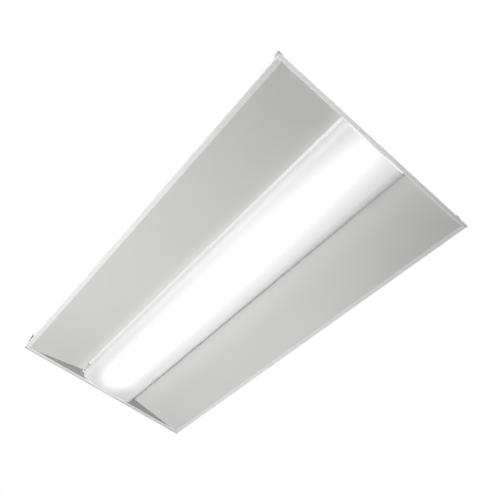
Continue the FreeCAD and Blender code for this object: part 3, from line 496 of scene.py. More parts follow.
@dataclass(frozen=True)
class TurnedMetal(Finish):
    """Bare metal of small pins, rivets, screws and springs, with fine drawn lines."""

    colour: Colour = (0.70, 0.70, 0.71)
    roughness: float = 0.30
    stretch: tuple[float, float, float] = (1.0, 1.0, 0.08)
    line_scale: float = 2600.0
    stain_scale: float = 60.0
    dark_share: float = 0.72
    line_shade: float = 0.3
    stain_shade: float = 0.35
    line_gloss: float = 0.16
    stain_gloss: float = 0.10
    line_relief: float = 0.10
    line_depth: float = 0.0001

    def lay(self, graph: Graph) -> None:
        """Builds the metal."""
        lines = graph.noise(self.line_scale, stretch=self.stretch)
        stain = graph.noise(self.stain_scale, detail=4.0)
        shade = lines * self.line_shade + stain * self.stain_shade
        graph.finish(graph.surface(
            Base_Color=graph.tint(shade, self.colour, dimmed(self.colour, self.dark_share)),
            Metallic=1.0,
            Roughness=(self.roughness + lines.swing(self.line_gloss)
                       + stain.swing(self.stain_gloss)),
            Normal=graph.bump(lines, self.line_relief, self.line_depth)))


@dataclass(frozen=True)
class Moulded(Finish):
    """Moulded plastic or rubber with a spark-eroded grain."""

    colour: Colour = (0.05, 0.05, 0.05)
    roughness: float = 0.5
    grain: float = 0.2
    grain_scale: float = 1500.0
    flow_scale: float = 45.0
    pale_share: float = 1.18
    pale_lift: float = 0.012
    flow_edges: Span = (0.3, 0.8)
    flow_shade: float = 0.8
    grain_gloss: float = 0.2
    grain_depth: float = 0.0002

    def lay(self, graph: Graph) -> None:
        """Builds the plastic."""
        grain = graph.noise(self.grain_scale)
        flow = graph.noise(self.flow_scale, detail=3.0)
        lighter = tuple(min(1.0, channel * self.pale_share + self.pale_lift)
                        for channel in self.colour)
        graph.finish(graph.surface(
            Base_Color=graph.tint(
                flow.eased(*self.flow_edges) * self.flow_shade, self.colour, lighter),
            Roughness=self.roughness + grain.swing(self.grain_gloss),
            Normal=graph.bump(grain, self.grain, self.grain_depth)))


@dataclass(frozen=True)
class BoardMask(Finish):
    """White solder mask over copper: the tracks stand out as faint raised bands."""

    colour: Colour = (0.86, 0.86, 0.84)
    copper_colour: Colour = (0.74, 0.75, 0.70)
    board_middle: float = 0.038
    track_pitch: float = 0.011
    track_inner: Span = (0.0076, 0.0080)
    track_outer: Span = (0.0102, 0.0098)
    pad_gap: Span = (0.0012, 0.0016)
    pad_side: Span = (0.0066, 0.0062)
    weave_scale: float = 700.0
    pad_height: float = 0.9
    weave_height: float = 0.12
    copper_shade: float = 0.75
    roughness: float = 0.34
    weave_gloss: float = 0.14
    relief: float = 0.5
    relief_depth: float = 0.00008

    def lay(self, graph: Graph) -> None:
        """Builds the board."""
        x, y, _ = graph.axes()
        across = abs(abs(x) - self.board_middle)
        band = across.eased(*self.track_inner) * across.eased(*self.track_outer)
        pads = y.maths("PINGPONG", y, self.track_pitch)
        island = pads.eased(*self.pad_gap) * across.eased(*self.pad_side)
        copper = band + island * self.pad_height
        weave = graph.noise(self.weave_scale)
        graph.finish(graph.surface(
            Base_Color=graph.tint(copper * self.copper_shade, self.colour, self.copper_colour),
            Roughness=self.roughness + weave * self.weave_gloss,
            Normal=graph.bump(copper + weave * self.weave_height,
                              self.relief, self.relief_depth)))


@dataclass(frozen=True)
class Phosphor(Finish):
    """The speckled yellow phosphor of a light source."""

    colour: Colour = (0.88, 0.70, 0.16)
    speck_colour: Colour = (0.93, 0.80, 0.30)
    speck_scale: float = 2400.0
    roughness: float = 0.22
    speck_gloss: float = 0.1
    speck_relief: float = 0.08
    speck_depth: float = 0.0001

    def lay(self, graph: Graph) -> None:
        """Builds the phosphor."""
        speck = graph.noise(self.speck_scale, detail=3.0)
        graph.finish(graph.surface(
            Base_Color=graph.tint(speck, self.colour, self.speck_colour),
            Roughness=self.roughness + speck * self.speck_gloss,
            Normal=graph.bump(speck, self.speck_relief, self.speck_depth)))


@dataclass(frozen=True)
class LitLens(Finish):
    """Satin white acrylic lit from inside by two rows of light sources, with painted shade towards
    the far end and along the left side.
    """

    colour: Colour = (0.88, 0.88, 0.88)
    cloudy_and_shaded_colour: Colour = (0.70, 0.70, 0.71)
    middle: float = -0.010
    fall: Span = (0.010, 0.080)
    centre_glow: float = 0.45
    edge_glow: float = 0.06
    near_start: float = -0.565
    far_start: float = 0.490
    far_end: float = 0.592
    end_squeeze: float = 0.68
    wall: Span = (0.002, 0.016)
    wall_across: Span = (-0.09, 0.09)
    wall_glow: float = 0.15
    face_edge: Span = (0.002, 0.005)
    side_across: Span = (0.015, 0.07)
    side_along: Span = (-0.6, 0.6)
    side_glow: float = 0.14
    shaded_side_across: Span = (-0.09, -0.02)
    shaded_side_along: Span = (-0.6, 0.5)
    shaded_side_share: float = 0.80
    far_shading_share: float = 0.8
    cloud_share: float = 0.2
    cloud_scale: float = 9.0
    frost_scale: float = 1300.0
    roughness: float = 0.38
    frost_gloss: float = 0.12
    frost_relief: float = 0.05
    frost_depth: float = 0.0002

    def glow(self, x: Socket, y: Socket, z: Socket) -> Socket:
        """The light that comes through, strongest along the two rows.

        Args:
            x: The place across the lens.
            y: The place along it.
            z: The height.

        Returns:
            The level of the light.
        """
        past_ends = (y - self.far_start).at_least(0.0) + (self.near_start - y).at_least(0.0)
        along = past_ends * self.end_squeeze
        across = x - self.middle
        spread = (across * across + along * along) ** 0.5
        rows = spread.eased(*self.fall, self.centre_glow, self.edge_glow)
        wall = z.eased(*self.wall) * x.eased(*self.wall_across, self.wall_glow, 0.0)
        face = z.eased(*self.face_edge, 1.0, 0.0) * x.eased(*self.side_across)
        return rows + wall + face * y.eased(*self.side_along, self.side_glow, 0.0)

    def lay(self, graph: Graph) -> None:
        """Builds the lens."""
        x, y, z = graph.axes()
        # Painted shade: darker towards the far end, and on the left side, more so towards the far
        # end.
        painted_far_shading = y.eased(self.far_start, self.far_end)
        painted_side_shading = x.eased(*self.shaded_side_across, 1.0, 0.0) * y.eased(*self.shaded_side_along)
        frost = graph.noise(self.frost_scale)
        cloud = graph.noise(self.cloud_scale)
        # Random clouds of tone plus the painted shade.
        cloud_and_painted_shading = (cloud * self.cloud_share + painted_far_shading * self.far_shading_share
                + painted_side_shading * self.shaded_side_share)
        graph.finish(graph.surface(
            Base_Color=graph.tint(cloud_and_painted_shading, self.colour, self.cloudy_and_shaded_colour),
            Roughness=self.roughness + frost * self.frost_gloss,
            Normal=graph.bump(frost, self.frost_relief, self.frost_depth),
            **emission(graph, self.glow(x, y, z))))


PAINT = PowderCoat("white_powder_coat")
REFLECTOR_COAT_PAINTED_SHADE = ReflectorCoat("reflector_coat_painted_shade", (0.84, 0.84, 0.83))
END_COAT_PAINTED_SHADE = EndPlateCoat("end_plate_coat_painted_shade", (0.77, 0.77, 0.76))
WELL_COAT_PAINTED_GLOW = WellPaintWithPaintedGlow("lamp_well_coat_painted_glow")
# Painted glow on the lens's white end caps and rails.
CAP_COAT_PAINTED_GLOW = PaintedGlowCoat("lens_cap_coat_painted_glow")
RAIL_COAT_PAINTED_GLOW = PaintedGlowCoat("lens_rail_coat_painted_glow", level=0.14)
ZINC = ZincSheet("zinc_spangle_sheet")
RIVET_METAL = TurnedMetal("aluminium_rivet", (0.74, 0.74, 0.75), 0.34)
MANDREL_METAL = TurnedMetal("steel_mandrel", (0.42, 0.42, 0.43), 0.42)
SCREW_METAL = TurnedMetal("bright_zinc_screw", (0.66, 0.66, 0.64), 0.28)
SPRING = TurnedMetal("spring_steel", (0.34, 0.35, 0.37), 0.36, (1.0, 0.06, 1.0))
NYLON = Moulded("black_nylon", (0.030, 0.030, 0.032), 0.42)
RUBBER = Moulded("black_rubber", (0.028, 0.028, 0.028), 0.68, 0.35)
CONNECTOR = Moulded("white_connector_moulding", (0.80, 0.80, 0.77), 0.40)
SPLICE = Moulded("orange_splice_moulding", (0.78, 0.28, 0.05), 0.30, 0.1)
BOARD = BoardMask("white_board_mask")
SOURCE_FRAME = Moulded("light_source_frame", (0.86, 0.86, 0.84), 0.35, 0.05)
SOURCE_GLOW = Phosphor("light_source_phosphor")
DRIVER_PAINT = PowderCoat("driver_case_enamel", (0.78, 0.78, 0.77), 0.42, 0.06)
BLACK_LEAD = Moulded("black_lead_jacket", (0.030, 0.030, 0.032), 0.36, 0.1)
RED_LEAD = Moulded("red_lead_jacket", (0.50, 0.035, 0.030), 0.36, 0.1)
GREEN_LEAD = Moulded("green_lead_jacket", (0.035, 0.26, 0.070), 0.36, 0.1)
GROUND_PAINT = PowderCoat("green_ground_enamel", (0.04, 0.28, 0.08), 0.36, 0.05)
LENS = LitLens("lit_lens_with_painted_shade")

NODE_FINISHES: dict[str, Finish] = {
    "reflector_right": REFLECTOR_COAT_PAINTED_SHADE, "reflector_left": REFLECTOR_COAT_PAINTED_SHADE,
    "end_plate_near": END_COAT_PAINTED_SHADE, "end_plate_far": END_COAT_PAINTED_SHADE,
    "back_channel": PAINT, "gear_tray": WELL_COAT_PAINTED_GLOW,
    "channel_cap_near": PAINT, "channel_cap_far": PAINT,
    "reflector_braces_right": ZINC, "reflector_braces_left": ZINC,
    "wiring_cover": ZINC, "knockout_slug": ZINC, "cover_hinge_leaf": ZINC,
    "cover_hinge_pin": SCREW_METAL,
    "led_board_1": BOARD, "led_board_2": BOARD, "led_board_3": BOARD, "led_board_4": BOARD,
    "board_connectors": CONNECTOR, "supply_connector": SPLICE,
    "driver_base": ZINC, "driver_case": DRIVER_PAINT,
    "diffuser": LENS, "lens_rail_right": RAIL_COAT_PAINTED_GLOW, "lens_rail_left": RAIL_COAT_PAINTED_GLOW,
    "lens_cap_near": CAP_COAT_PAINTED_GLOW, "lens_cap_far": CAP_COAT_PAINTED_GLOW,
    "lens_catch_near": SPRING, "lens_catch_far": SPRING,
    "grid_clip_near_right": SPRING, "grid_clip_near_left": SPRING,
    "grid_clip_far_right": SPRING, "grid_clip_far_left": SPRING,
}


# ---- Meshes ----------------------------------------------------------------------------------

class Axis(Enum):
    """The axis that a fastener's shank runs along."""

    X = 0
    Y = 1
    Z = 2


class HeadSide(Enum):
    """Which end of a fastener has its head."""

    OUTER = "away from the light's middle"
    UPPER = "up"
    LOWER = "down"


def islands(node: str) -> list[tuple[Vector, Vector]]:
    """The boxes of a CAD node's separate solids.

    Args:
        node: The node's name.

    Returns:
        The lowest and highest corner of each solid, in order of place.
    """
    mesh = bmesh.new()
    mesh.from_mesh(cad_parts[node].data)
    bmesh.ops.remove_doubles(mesh, verts=mesh.verts, dist=CAD_MERGE)
    left = set(mesh.verts)
    boxes = []
    while left:
        front = [left.pop()]
        low, high = front[0].co.copy(), front[0].co.copy()
        while front:
            vert = front.pop()
            low = Vector(map(min, low, vert.co))
            high = Vector(map(max, high, vert.co))
            for edge in vert.link_edges:
                other = edge.other_vert(vert)
                if other in left:
                    left.remove(other)
                    front.append(other)
        boxes.append((low, high))
    mesh.free()
    return sorted(boxes, key=lambda pair: tuple(round(value, 5) for value in pair[0]))


def turned(mesh: bmesh.types.BMesh, profile: Sequence[tuple[float, float]],
           steps: int) -> list[bmesh.types.BMFace]:
    """Spins a profile of radii and heights about Z.

    Args:
        mesh: The mesh that takes the faces.
        profile: Radii and heights, in millimetres, in their order along the profile.
        steps: Sides of the turned form.

    Returns:
        The new faces.
    """
    before = set(mesh.faces)
    verts = [mesh.verts.new((radius * MM, 0.0, height * MM)) for radius, height in profile]
    edges = [mesh.edges.new(pair) for pair in zip(verts, verts[1:])]
    bmesh.ops.spin(mesh, geom=verts + edges, cent=(0, 0, 0), axis=(0, 0, 1),
                   angle=math.tau, steps=steps, use_merge=True, use_duplicate=False)
    bmesh.ops.remove_doubles(mesh, verts=mesh.verts, dist=TURNED_MERGE)
    made = [face for face in mesh.faces if face not in before]
    bmesh.ops.recalc_face_normals(mesh, faces=made)
    return made


def joined(top: Profile, foot: Profile, length: float) -> list[tuple[float, float]]:
    """A whole profile from those of its two ends.

    Args:
        top: The upper end's, whose heights count from the top.
        foot: The lower end's, whose heights count from the foot.
        length: From the top to the foot, in metres.

    Returns:
        The profile, whose heights all count from the top.
    """
    return [*top, *((radius, height - length / MM) for radius, height in foot)]


def placed(axis: Axis, up: float, top: Vector) -> Matrix:
    """The transform that lays +Z along an axis, with the origin at a fastener's top.

    Args:
        axis: The axis.
        up: 1 for the positive way along it, or -1.
        top: Where the origin goes.

    Returns:
        The transform.
    """
    way = Vector((0, 0, 0))
    way[axis.value] = up
    turn = Vector((0, 0, 1)).rotation_difference(way)
    return Matrix.Translation(top) @ turn.to_matrix().to_4x4()


def edges_at(verts: Sequence[bmesh.types.BMVert]) -> list[bmesh.types.BMEdge]:
    """The edges that meet any of some vertices, each of them once."""
    return list(dict.fromkeys(edge for vert in verts for edge in vert.link_edges))


def piece(name: str, mesh: bmesh.types.BMesh, finishes: Sequence[Finish],
          smooth: float = 30.0) -> bpy.types.Object:
    """Turns a mesh into a piece at the origin.

    Args:
        name: The piece's name.
        mesh: Its mesh, in the frame's own place; it is freed.
        finishes: Its finishes, in the order of its faces' material numbers.
        smooth: The angle, in degrees, up to which neighbouring faces look smooth.

    Returns:
        The piece.
    """
    data = bpy.data.meshes.new(name)
    mesh.to_mesh(data)
    mesh.free()
    for finish in finishes:
        data.materials.append(finish.material())
    data.shade_smooth()
    data.set_sharp_from_angle(angle=math.radians(smooth))
    made = bpy.data.objects.new(name, data)
    bpy.context.scene.collection.objects.link(made)
    return made


RIVET_MANDREL: Profile = ((0.0, -0.42), (0.83, -0.50), (0.89, -0.62), (0.95, -0.62))
RIVET_TOP: Profile = (
    (0.95, -0.62), (1.0, -0.10), (1.35, 0.0), (2.2, -0.18), (2.8, -0.48), (3.15, -0.80),
    (3.15, -1.0), (1.55, -1.0))
RIVET_FOOT: Profile = ((1.55, 1.05), (2.35, 0.95), (2.35, 0.45), (1.645, 0.05), (0.0, 0.0))
HINGE_PIN_TOP: Profile = (
    (0.0, 0.0), (2.15, 0.0), (2.5, -0.35), (2.5, -1.01), (4.15, -1.01), (4.5, -1.36),
    (4.5, -2.10), (2.5, -2.10))
HINGE_PIN_FOOT: Profile = ((2.5, 1.5), (4.0, 1.5), (4.0, 0.35), (3.65, 0.0), (0.0, 0.0))
CLIP_RIVET_TOP: Profile = (
    (0.0, 0.0), (2.4, -0.04), (3.5, -0.24), (4.1, -0.60), (4.3, -1.0), (4.3, -1.2), (2.49, -1.2))
CLIP_RIVET_FOOT: Profile = ((2.49, 0.8), (3.7, 0.8), (3.7, 0.3), (3.3, 0.0), (0.0, 0.0))
SCREW_FOOT: Profile = ((1.42, 0.8), (0.0, 0.0))
BUSHING: Profile = (
    (10.3, 0.0), (13.2, 0.0), (13.8, -0.25), (14.0, -0.8), (14.0, -2.0), (11.0, -2.0),
    (11.0, -7.3), (10.6, -8.1), (9.7, -8.1), (9.4, -7.8), (9.4, -0.9), (9.7, -0.25))
GROMMET: Profile = (
    (5.6, 0.0), (7.9, 0.0), (8.5, -0.5), (8.5, -1.35), (6.9, -1.35), (6.9, -2.25),
    (8.5, -2.25), (8.5, -3.1), (7.9, -3.6), (5.6, -3.6), (5.0, -3.1), (5.0, -0.5))


@dataclass
class StandIn(ABC):
    """A new piece that stands for a CAD node.

    Its finishes are in the order of its faces' material numbers. Its sizes are in millimetres,
    and its angles in degrees.
    """

    node: str
    body: str
    slot: str
    finishes: tuple[Finish, ...]
    smooth: ClassVar[float] = 35.0

    @abstractmethod
    def shape(self) -> bmesh.types.BMesh:
        """The piece's mesh, in the frame's own place."""

    def title(self) -> str:
        """The piece's name."""
        return self.node + "_turned"

    def build(self) -> bpy.types.Object:
        """Builds the piece, in the place of its node."""
        made = piece(self.title(), self.shape(), self.finishes, self.smooth)
        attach(made, self.body)
        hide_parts(self.node)
        LOG.info("%s: %d faces", made.name, len(made.data.polygons))
        return made


@dataclass
class Fasteners(StandIn):
    """A set of fasteners of one kind."""

    axis: Axis
    side: HeadSide

    @abstractmethod
    def form(self, length: float) -> bmesh.types.BMesh:
        """One fastener along Z, its head's top at the origin, with its length in metres."""

    def seats(self) -> Iterator[tuple[Vector, float, float]]:
        """The top, the way up and the length of each fastener."""
        way = self.axis.value
        for low, high in islands(self.node):
            top = (low + high) / 2
            if self.side is HeadSide.OUTER:
                up = math.copysign(1.0, top[way])
            else:
                up = 1.0 if self.side is HeadSide.UPPER else -1.0
            top[way] = high[way] if up > 0 else low[way]
            yield top, up, high[way] - low[way]

    def shape(self) -> bmesh.types.BMesh:
        """Every fastener of the set."""
        whole = bmesh.new()
        for top, up, length in self.seats():
            one = self.form(length)
            one.transform(placed(self.axis, up, top))
            held = bpy.data.meshes.new("one_fastener")
            one.to_mesh(held)
            one.free()
            whole.from_mesh(held)
            bpy.data.meshes.remove(held)
        return whole


@dataclass
class BlindRivets(Fasteners):
    """Domed blind rivets. The mandrel's end, in the head, takes the second finish."""

    steps: int = 20

    def form(self, length: float) -> bmesh.types.BMesh:
        """One rivet."""
        mesh = bmesh.new()
        for face in turned(mesh, RIVET_MANDREL, self.steps):
            face.material_index = 1
        turned(mesh, joined(RIVET_TOP, RIVET_FOOT, length), self.steps)
        bmesh.ops.recalc_face_normals(mesh, faces=mesh.faces)
        return mesh


@dataclass
class TurnedPins(Fasteners):
    """Plain turned pins, or rivets that a piece swings on."""

    top: Profile
    foot: Profile
    steps: int = 40

    def form(self, length: float) -> bmesh.types.BMesh:
        """One pin."""
        mesh = bmesh.new()
        turned(mesh, joined(self.top, self.foot, length), self.steps)
        return mesh


class Head(Enum):
    """A screw's head, by its profile from the rim of the top in to the shank."""

    HEXAGON = ((2.35, 0.0), (2.5, -0.15), (2.5, -1.1), (2.95, -1.15), (2.95, -1.6), (1.42, -1.6))
    PAN = ((2.2, -0.12), (2.65, -0.45), (2.95, -0.95), (2.95, -1.6), (1.42, -1.6))


@dataclass
class CrossScrews(Fasteners):
    """Machine screws whose heads have a cross recess.

    They have twelve sides, as many as the recess has corners.
    """

    head: Head
    arm: float = 1.35
    slot_half: float = 0.30
    recess: float = 0.85
    recess_taper: float = 0.8
    hexagon_start: float = 2.3
    hexagon_foot: float = 1.12
    steps: int = 12

    def cross(self) -> list[tuple[float, float]]:
        """The twelve corners of the recess, in millimetres."""
        arm, half = self.arm, self.slot_half
        corners = []
        for turn in range(4):
            spin = Matrix.Rotation(turn * math.pi / 2, 2)
            corners += [tuple(spin @ Vector(corner))
                        for corner in ((arm, -half), (arm, half), (half, half))]
        return corners

    def crown(self, mesh: bmesh.types.BMesh, radius: float, height: float) -> None:
        """Closes the top of the head round a cross recess.

        Args:
            mesh: The screw's mesh.
            radius: The radius of the ring that the crown joins.
            height: The ring's height.
        """
        ring = bmesh.ops.create_circle(
            mesh, cap_ends=False, radius=radius * MM, segments=self.steps,
            matrix=Matrix.Translation((0, 0, height * MM)))["verts"]
        recess = bmesh.ops.create_circle(
            mesh, cap_ends=False, radius=MM, segments=self.steps)["verts"]
        order = sorted(recess, key=lambda vert: math.atan2(vert.co.y, vert.co.x) % math.tau)
        corners = sorted(self.cross(), key=lambda spot: math.atan2(spot[1], spot[0]) % math.tau)
        for vert, (x, y) in zip(order, corners):
            vert.co = Vector((x * MM, y * MM, 0.0))
        bmesh.ops.bridge_loops(mesh, edges=edges_at(ring + recess))
        rim = [edge for edge in edges_at(recess) if edge.is_boundary]
        sunk = bmesh.ops.extrude_edge_only(mesh, edges=rim)["geom"]
        floor = [item for item in sunk if isinstance(item, bmesh.types.BMVert)]
        bmesh.ops.translate(mesh, verts=floor, vec=(0, 0, -self.recess * MM))
        bmesh.ops.scale(mesh, verts=floor, vec=(self.recess_taper, self.recess_taper, 1.0))
        rim = [edge for edge in edges_at(floor) if edge.is_boundary]
        bmesh.ops.contextual_create(mesh, geom=rim)

    def flats(self, mesh: bmesh.types.BMesh) -> None:
        """Draws every second corner of a turned head in, so that it has six flats.

        Args:
            mesh: The screw's mesh.
        """
        step = math.tau / self.steps
        between = [vert for vert in mesh.verts
                   if vert.co.z > -self.hexagon_foot * MM
                   and vert.co.xy.length > self.hexagon_start * MM
                   and round(math.atan2(vert.co.y, vert.co.x) / step) % 2]
        inwards = math.cos(step)
        bmesh.ops.scale(mesh, verts=between, vec=(inwards, inwards, 1.0))

    def form(self, length: float) -> bmesh.types.BMesh:
        """One screw."""
        mesh = bmesh.new()
        turned(mesh, joined(self.head.value, SCREW_FOOT, length), self.steps)
        self.crown(mesh, *self.head.value[0])
        bmesh.ops.remove_doubles(mesh, verts=mesh.verts, dist=CROWN_MERGE)
        if self.head is Head.HEXAGON:
            self.flats(mesh)
        bmesh.ops.recalc_face_normals(mesh, faces=mesh.faces)
        return mesh


@dataclass
class Collar(StandIn):
    """A round bushing or grommet, where the CAD node has flat sides."""

    profile: Profile
    steps: int = 64

    def shape(self) -> bmesh.types.BMesh:
        """The turned collar."""
        low, high = islands(self.node)[0]
        mesh = bmesh.new()
        turned(mesh, [*self.profile, self.profile[0]], self.steps)
        mesh.transform(Matrix.Translation(((low.x + high.x) / 2, (low.y + high.y) / 2, high.z)))
        return mesh


@dataclass
class RoundLeads(StandIn):
    """Insulated leads: the CAD node's six-sided rods, with their long edges rounded off."""

    chamfer: float = 0.36
    flat: float = 1.0
    sharp: float = 25.0
    smooth: ClassVar[float] = 50.0

    def title(self) -> str:
        """The piece's name."""
        return self.node + "_round"

    def shape(self) -> bmesh.types.BMesh:
        """A merged and rounded copy of the rods."""
        mesh = bmesh.new()
        mesh.from_mesh(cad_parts[self.node].data)
        bmesh.ops.remove_doubles(mesh, verts=mesh.verts, dist=CAD_MERGE)
        bmesh.ops.dissolve_limit(mesh, angle_limit=math.radians(self.flat),
                                 verts=mesh.verts, edges=mesh.edges)
        edges = [edge for edge in mesh.edges
                 if abs(edge.calc_face_angle(0.0)) > math.radians(self.sharp)]
        bmesh.ops.bevel(mesh, geom=edges, offset=self.chamfer * MM, offset_type="OFFSET",
                        affect="EDGES", segments=2, profile=0.5, material=-1,
                        clamp_overlap=True)
        return mesh


@dataclass
class LightSources(StandIn):
    """The rows of light sources on the boards: a white frame round a yellow window."""

    rim: float = 0.45
    slope: float = 0.08
    sink: float = 0.12
    smooth: ClassVar[float] = 20.0

    def title(self) -> str:
        """The piece's name."""
        return "light_sources"

    def shape(self) -> bmesh.types.BMesh:
        """Every source, whose window takes the second finish."""
        whole = bmesh.new()
        for low, high in islands(self.node):
            spot = Matrix.Translation((low + high) / 2) @ Matrix.Diagonal((*(high - low), 1.0))
            verts = bmesh.ops.create_cube(whole, size=1.0, matrix=spot)["verts"]
            faces = {face for vert in verts for face in vert.link_faces}
            under = min(faces, key=lambda face: face.calc_center_median().z)
            for width, depth in ((self.rim, 0.0), (self.slope, -self.sink)):
                bmesh.ops.inset_region(
                    whole, faces=[under], thickness=width * MM, depth=depth * MM)
            under.material_index = 1
        return whole


# ---- Studio ----------------------------------------------------------------------------------

def seen_directly(graph: Graph) -> Socket:
    """One for rays that come from the camera, a mirror or a clear piece, and zero for others."""
    path = graph.node("ShaderNodeLightPath")
    seen = path["Is Camera Ray"].at_least(path["Is Glossy Ray"])
    return seen.at_least(path["Is Transmission Ray"])


def held_at(name: str, data: bpy.types.ID, where: Matrix) -> bpy.types.Object:
    """Puts a lamp or a camera into the scene.

    Args:
        name: Its name.
        data: Its data.
        where: Its place and turn.

    Returns:
        The object.
    """
    held = bpy.data.objects.new(name, data)
    held.matrix_world = where
    bpy.context.scene.collection.objects.link(held)
    return held


def aimed(place: Vector, target: Vector) -> Matrix:
    """The transform of a lamp.

    Args:
        place: Where the lamp is.
        target: What it shines at.

    Returns:
        The transform.
    """
    turn = (target - place).to_track_quat("-Z", "Y")
    return Matrix.Translation(place) @ turn.to_matrix().to_4x4()


@dataclass(frozen=True)
class FloorPaper(Finish):
    """Pale matt studio paper that sends little light back up at the object."""

    colour: Colour = (0.92, 0.92, 0.92)
    bounce: Colour = (0.12, 0.12, 0.12)
    roughness: float = 0.85
    fibre_scale: float = 40.0
    dark_share: float = 0.97

    def lay(self, graph: Graph) -> None:
        """Builds the paper."""
        fibre = graph.noise(self.fibre_scale, detail=4.0)
        darker = dimmed(self.colour, self.dark_share)
        pale = graph.surface(
            Base_Color=graph.tint(fibre, self.colour, darker), Roughness=self.roughness)
        plain = graph.surface(Base_Color=(*self.bounce, 1.0), Roughness=self.roughness)
        graph.finish(graph.node("ShaderNodeMixShader", {
            0: seen_directly(graph), 1: plain[0], 2: pale[0]}))


@dataclass(frozen=True)
class Lamp(ABC):
    """A lamp of the studio."""

    name: str
    place: Vector

    @abstractmethod
    def build(self) -> None:
        """Hangs the lamp."""


@dataclass(frozen=True)
class DistantLight(Lamp):
    """An even, soft light from far off."""

    strength: float
    spread: float = 0.6

    def build(self) -> None:
        """Hangs the light, aimed at the frame's origin."""
        lamp = bpy.data.lights.new(self.name, "SUN")
        lamp.energy = self.strength
        lamp.angle = self.spread
        held_at(self.name, lamp, aimed(self.place, Vector((0.0, 0.0, 0.0))))


@dataclass(frozen=True)
class SoftBox(Lamp):
    """A square studio lamp that the camera doesn't see."""

    target: Vector
    side: float
    watts: float

    def build(self) -> None:
        """Hangs the lamp."""
        lamp = bpy.data.lights.new(self.name, "AREA")
        lamp.shape = "SQUARE"
        lamp.size = self.side
        lamp.energy = self.watts
        held_at(self.name, lamp, aimed(self.place, self.target)).visible_camera = False


@dataclass
class Studio:
    """The pale floor, the white surroundings, the lamps and the camera under the light."""

    floor_height: float = -1.70
    floor_side: float = 14.0
    sky: float = 0.06
    lamps: tuple[Lamp, ...] = (
        SoftBox("key_softbox", Vector((0.0, 0.30, -1.30)), Vector((0.0, 0.0, 0.0)), 1.0, 11.0),
        SoftBox("left_softbox", Vector((-1.0, 0.20, -1.0)), Vector((0.0, 0.0, 0.0)), 1.0, 7.3),
        SoftBox("side_softbox", Vector((-2.2, -0.30, 0.02)), Vector((-0.30, 0.0, 0.0)), 0.8, 14.0),
        DistantLight("upper_light", Vector((1.2, 1.6, 3.0)), 2.4, 2.0),
        DistantLight("fill_light", Vector((-1.2, -1.2, 0.9)), 1.3),
    )

    def floor(self) -> bpy.types.Object:
        """Lays the floor well below the camera."""
        mesh = bmesh.new()
        bmesh.ops.create_grid(mesh, x_segments=1, y_segments=1, size=self.floor_side / 2,
                              matrix=Matrix.Translation((0, 0, self.floor_height)))
        made = piece("studio_floor", mesh, [FloorPaper("floor_paper")])
        return made

    def surroundings(self) -> None:
        """Makes the world plain, and white where it is seen directly or mirrored."""
        world = bpy.data.worlds.new("studio_surroundings")
        world.use_nodes = True
        graph = Graph(world.node_tree)
        plain, white = (
            graph.node("ShaderNodeBackground", {"Color": (*WHITE, 1.0), "Strength": strength})
            for strength in (self.sky, 1.0))
        both = graph.node("ShaderNodeMixShader", {
            0: seen_directly(graph), 1: plain[0], 2: white[0]})
        graph.finish(both, "ShaderNodeOutputWorld")
        bpy.context.scene.world = world

    def build(self) -> None:
        """Builds the studio."""
        bpy.context.scene.view_settings.view_transform = "Standard"
        self.floor()
        self.surroundings()
        for lamp in self.lamps:
            lamp.build()
        LOG.info("studio: %d lamps", len(self.lamps))


@dataclass(frozen=True)
class Viewpoint:
    """The camera: low, under the light's near left corner, looking up along it."""

    place: Vector = Vector((-0.4568, -0.8568, -1.0835))
    right: Vector = Vector((0.7624, -0.6393, 0.1000))
    up: Vector = Vector((-0.5675, -0.5864, 0.5780))
    focal_length: float = 37.88
    sensor: float = 36.0
    clip_start: float = 0.01

    def build(self) -> None:
        """Sets the camera up."""
        camera = bpy.data.cameras.new("studio_camera")
        camera.lens = self.focal_length
        camera.sensor_width = self.sensor
        camera.clip_start = self.clip_start
        across = self.right.normalized()
        back = across.cross(self.up).normalized()
        turn = Matrix((across, back.cross(across), back)).transposed()
        where = Matrix.Translation(self.place) @ turn.to_4x4()
        bpy.context.scene.camera = held_at("studio_camera", camera, where)


# ---- Making ----------------------------------------------------------------------------------

def dress_nodes() -> None:
    """Gives every shown CAD node its finish."""
    for name, finish in NODE_FINISHES.items():
        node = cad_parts[name]
        node.data.materials.clear()
        node.data.materials.append(finish.material())
        LOG.info("%s: %s", name, finish.name)


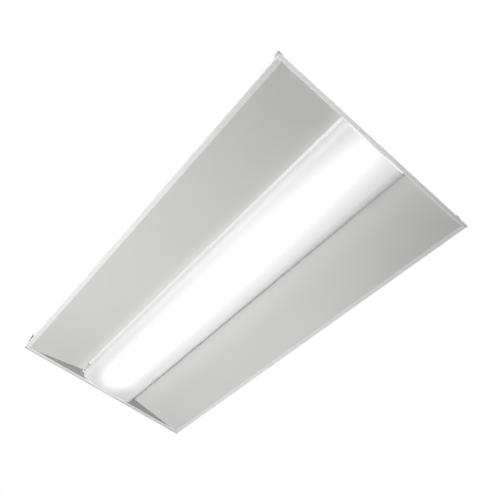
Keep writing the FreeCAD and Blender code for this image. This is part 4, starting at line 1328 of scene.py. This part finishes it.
def fasteners() -> list[Fasteners]:
    """Every set of fasteners on the light."""
    home, door, basket = "housing", "wiring_cover_door", "lens_basket"
    outer, upper, lower = HeadSide.OUTER, HeadSide.UPPER, HeadSide.LOWER
    blind, plain, zinc = (RIVET_METAL, MANDREL_METAL), (RIVET_METAL,), (SCREW_METAL,)
    rivets = [BlindRivets(node, home, "rivet_metal", blind, axis, side) for node, axis, side in (
        ("end_plate_rivets", Axis.Y, outer), ("channel_rivets", Axis.X, outer),
        ("channel_cap_rivets", Axis.Y, outer), ("tray_rivets", Axis.X, outer),
        ("hinge_leaf_rivets", Axis.Z, upper))]
    pins = [
        TurnedPins("lens_hinge_pins", basket, "zinc_screw", zinc, Axis.Y, outer,
                   HINGE_PIN_TOP, HINGE_PIN_FOOT),
        TurnedPins("grid_clip_rivets", home, "rivet_metal", plain, Axis.Z, upper,
                   CLIP_RIVET_TOP, CLIP_RIVET_FOOT),
    ]
    screws = [
        CrossScrews("channel_cap_screws", home, "zinc_screw", zinc, Axis.Z, upper, Head.HEXAGON),
        CrossScrews("cover_screw", door, "zinc_screw", zinc, Axis.Z, upper, Head.HEXAGON),
        CrossScrews("board_screws", home, "zinc_screw", zinc, Axis.Z, lower, Head.PAN),
        CrossScrews("driver_screws", home, "zinc_screw", zinc, Axis.Z, upper, Head.HEXAGON),
        CrossScrews("ground_screw", home, "ground_paint", (GROUND_PAINT,), Axis.Z, upper,
                    Head.HEXAGON),
    ]
    return [*rivets, *pins, *screws]


def fittings() -> list[StandIn]:
    """The bushing in the knockout, the grommet in the tray, the leads and the light sources."""
    return [
        Collar("wiring_bushing", "wiring_cover_door", "black_plastic", (NYLON,), BUSHING),
        Collar("lead_grommet", "housing", "black_rubber", (RUBBER,), GROMMET),
        RoundLeads("driver_input_leads", "housing", "lead_black", (BLACK_LEAD,)),
        RoundLeads("driver_output_leads", "housing", "lead_red", (RED_LEAD,)),
        RoundLeads("ground_lead", "housing", "lead_green", (GREEN_LEAD,)),
        LightSources("led_packages", "housing", "led_phosphor", (SOURCE_FRAME, SOURCE_GLOW)),
    ]


def main() -> None:
    """Builds the camera, the studio and the pieces, in that order."""
    logging.basicConfig(level=logging.INFO, format="%(name)s: %(message)s")
    Viewpoint().build()
    Studio().build()
    dress_nodes()
    for stand_in in [*fasteners(), *fittings()]:
        stand_in.build()


if __name__ == "__main__":
    main()
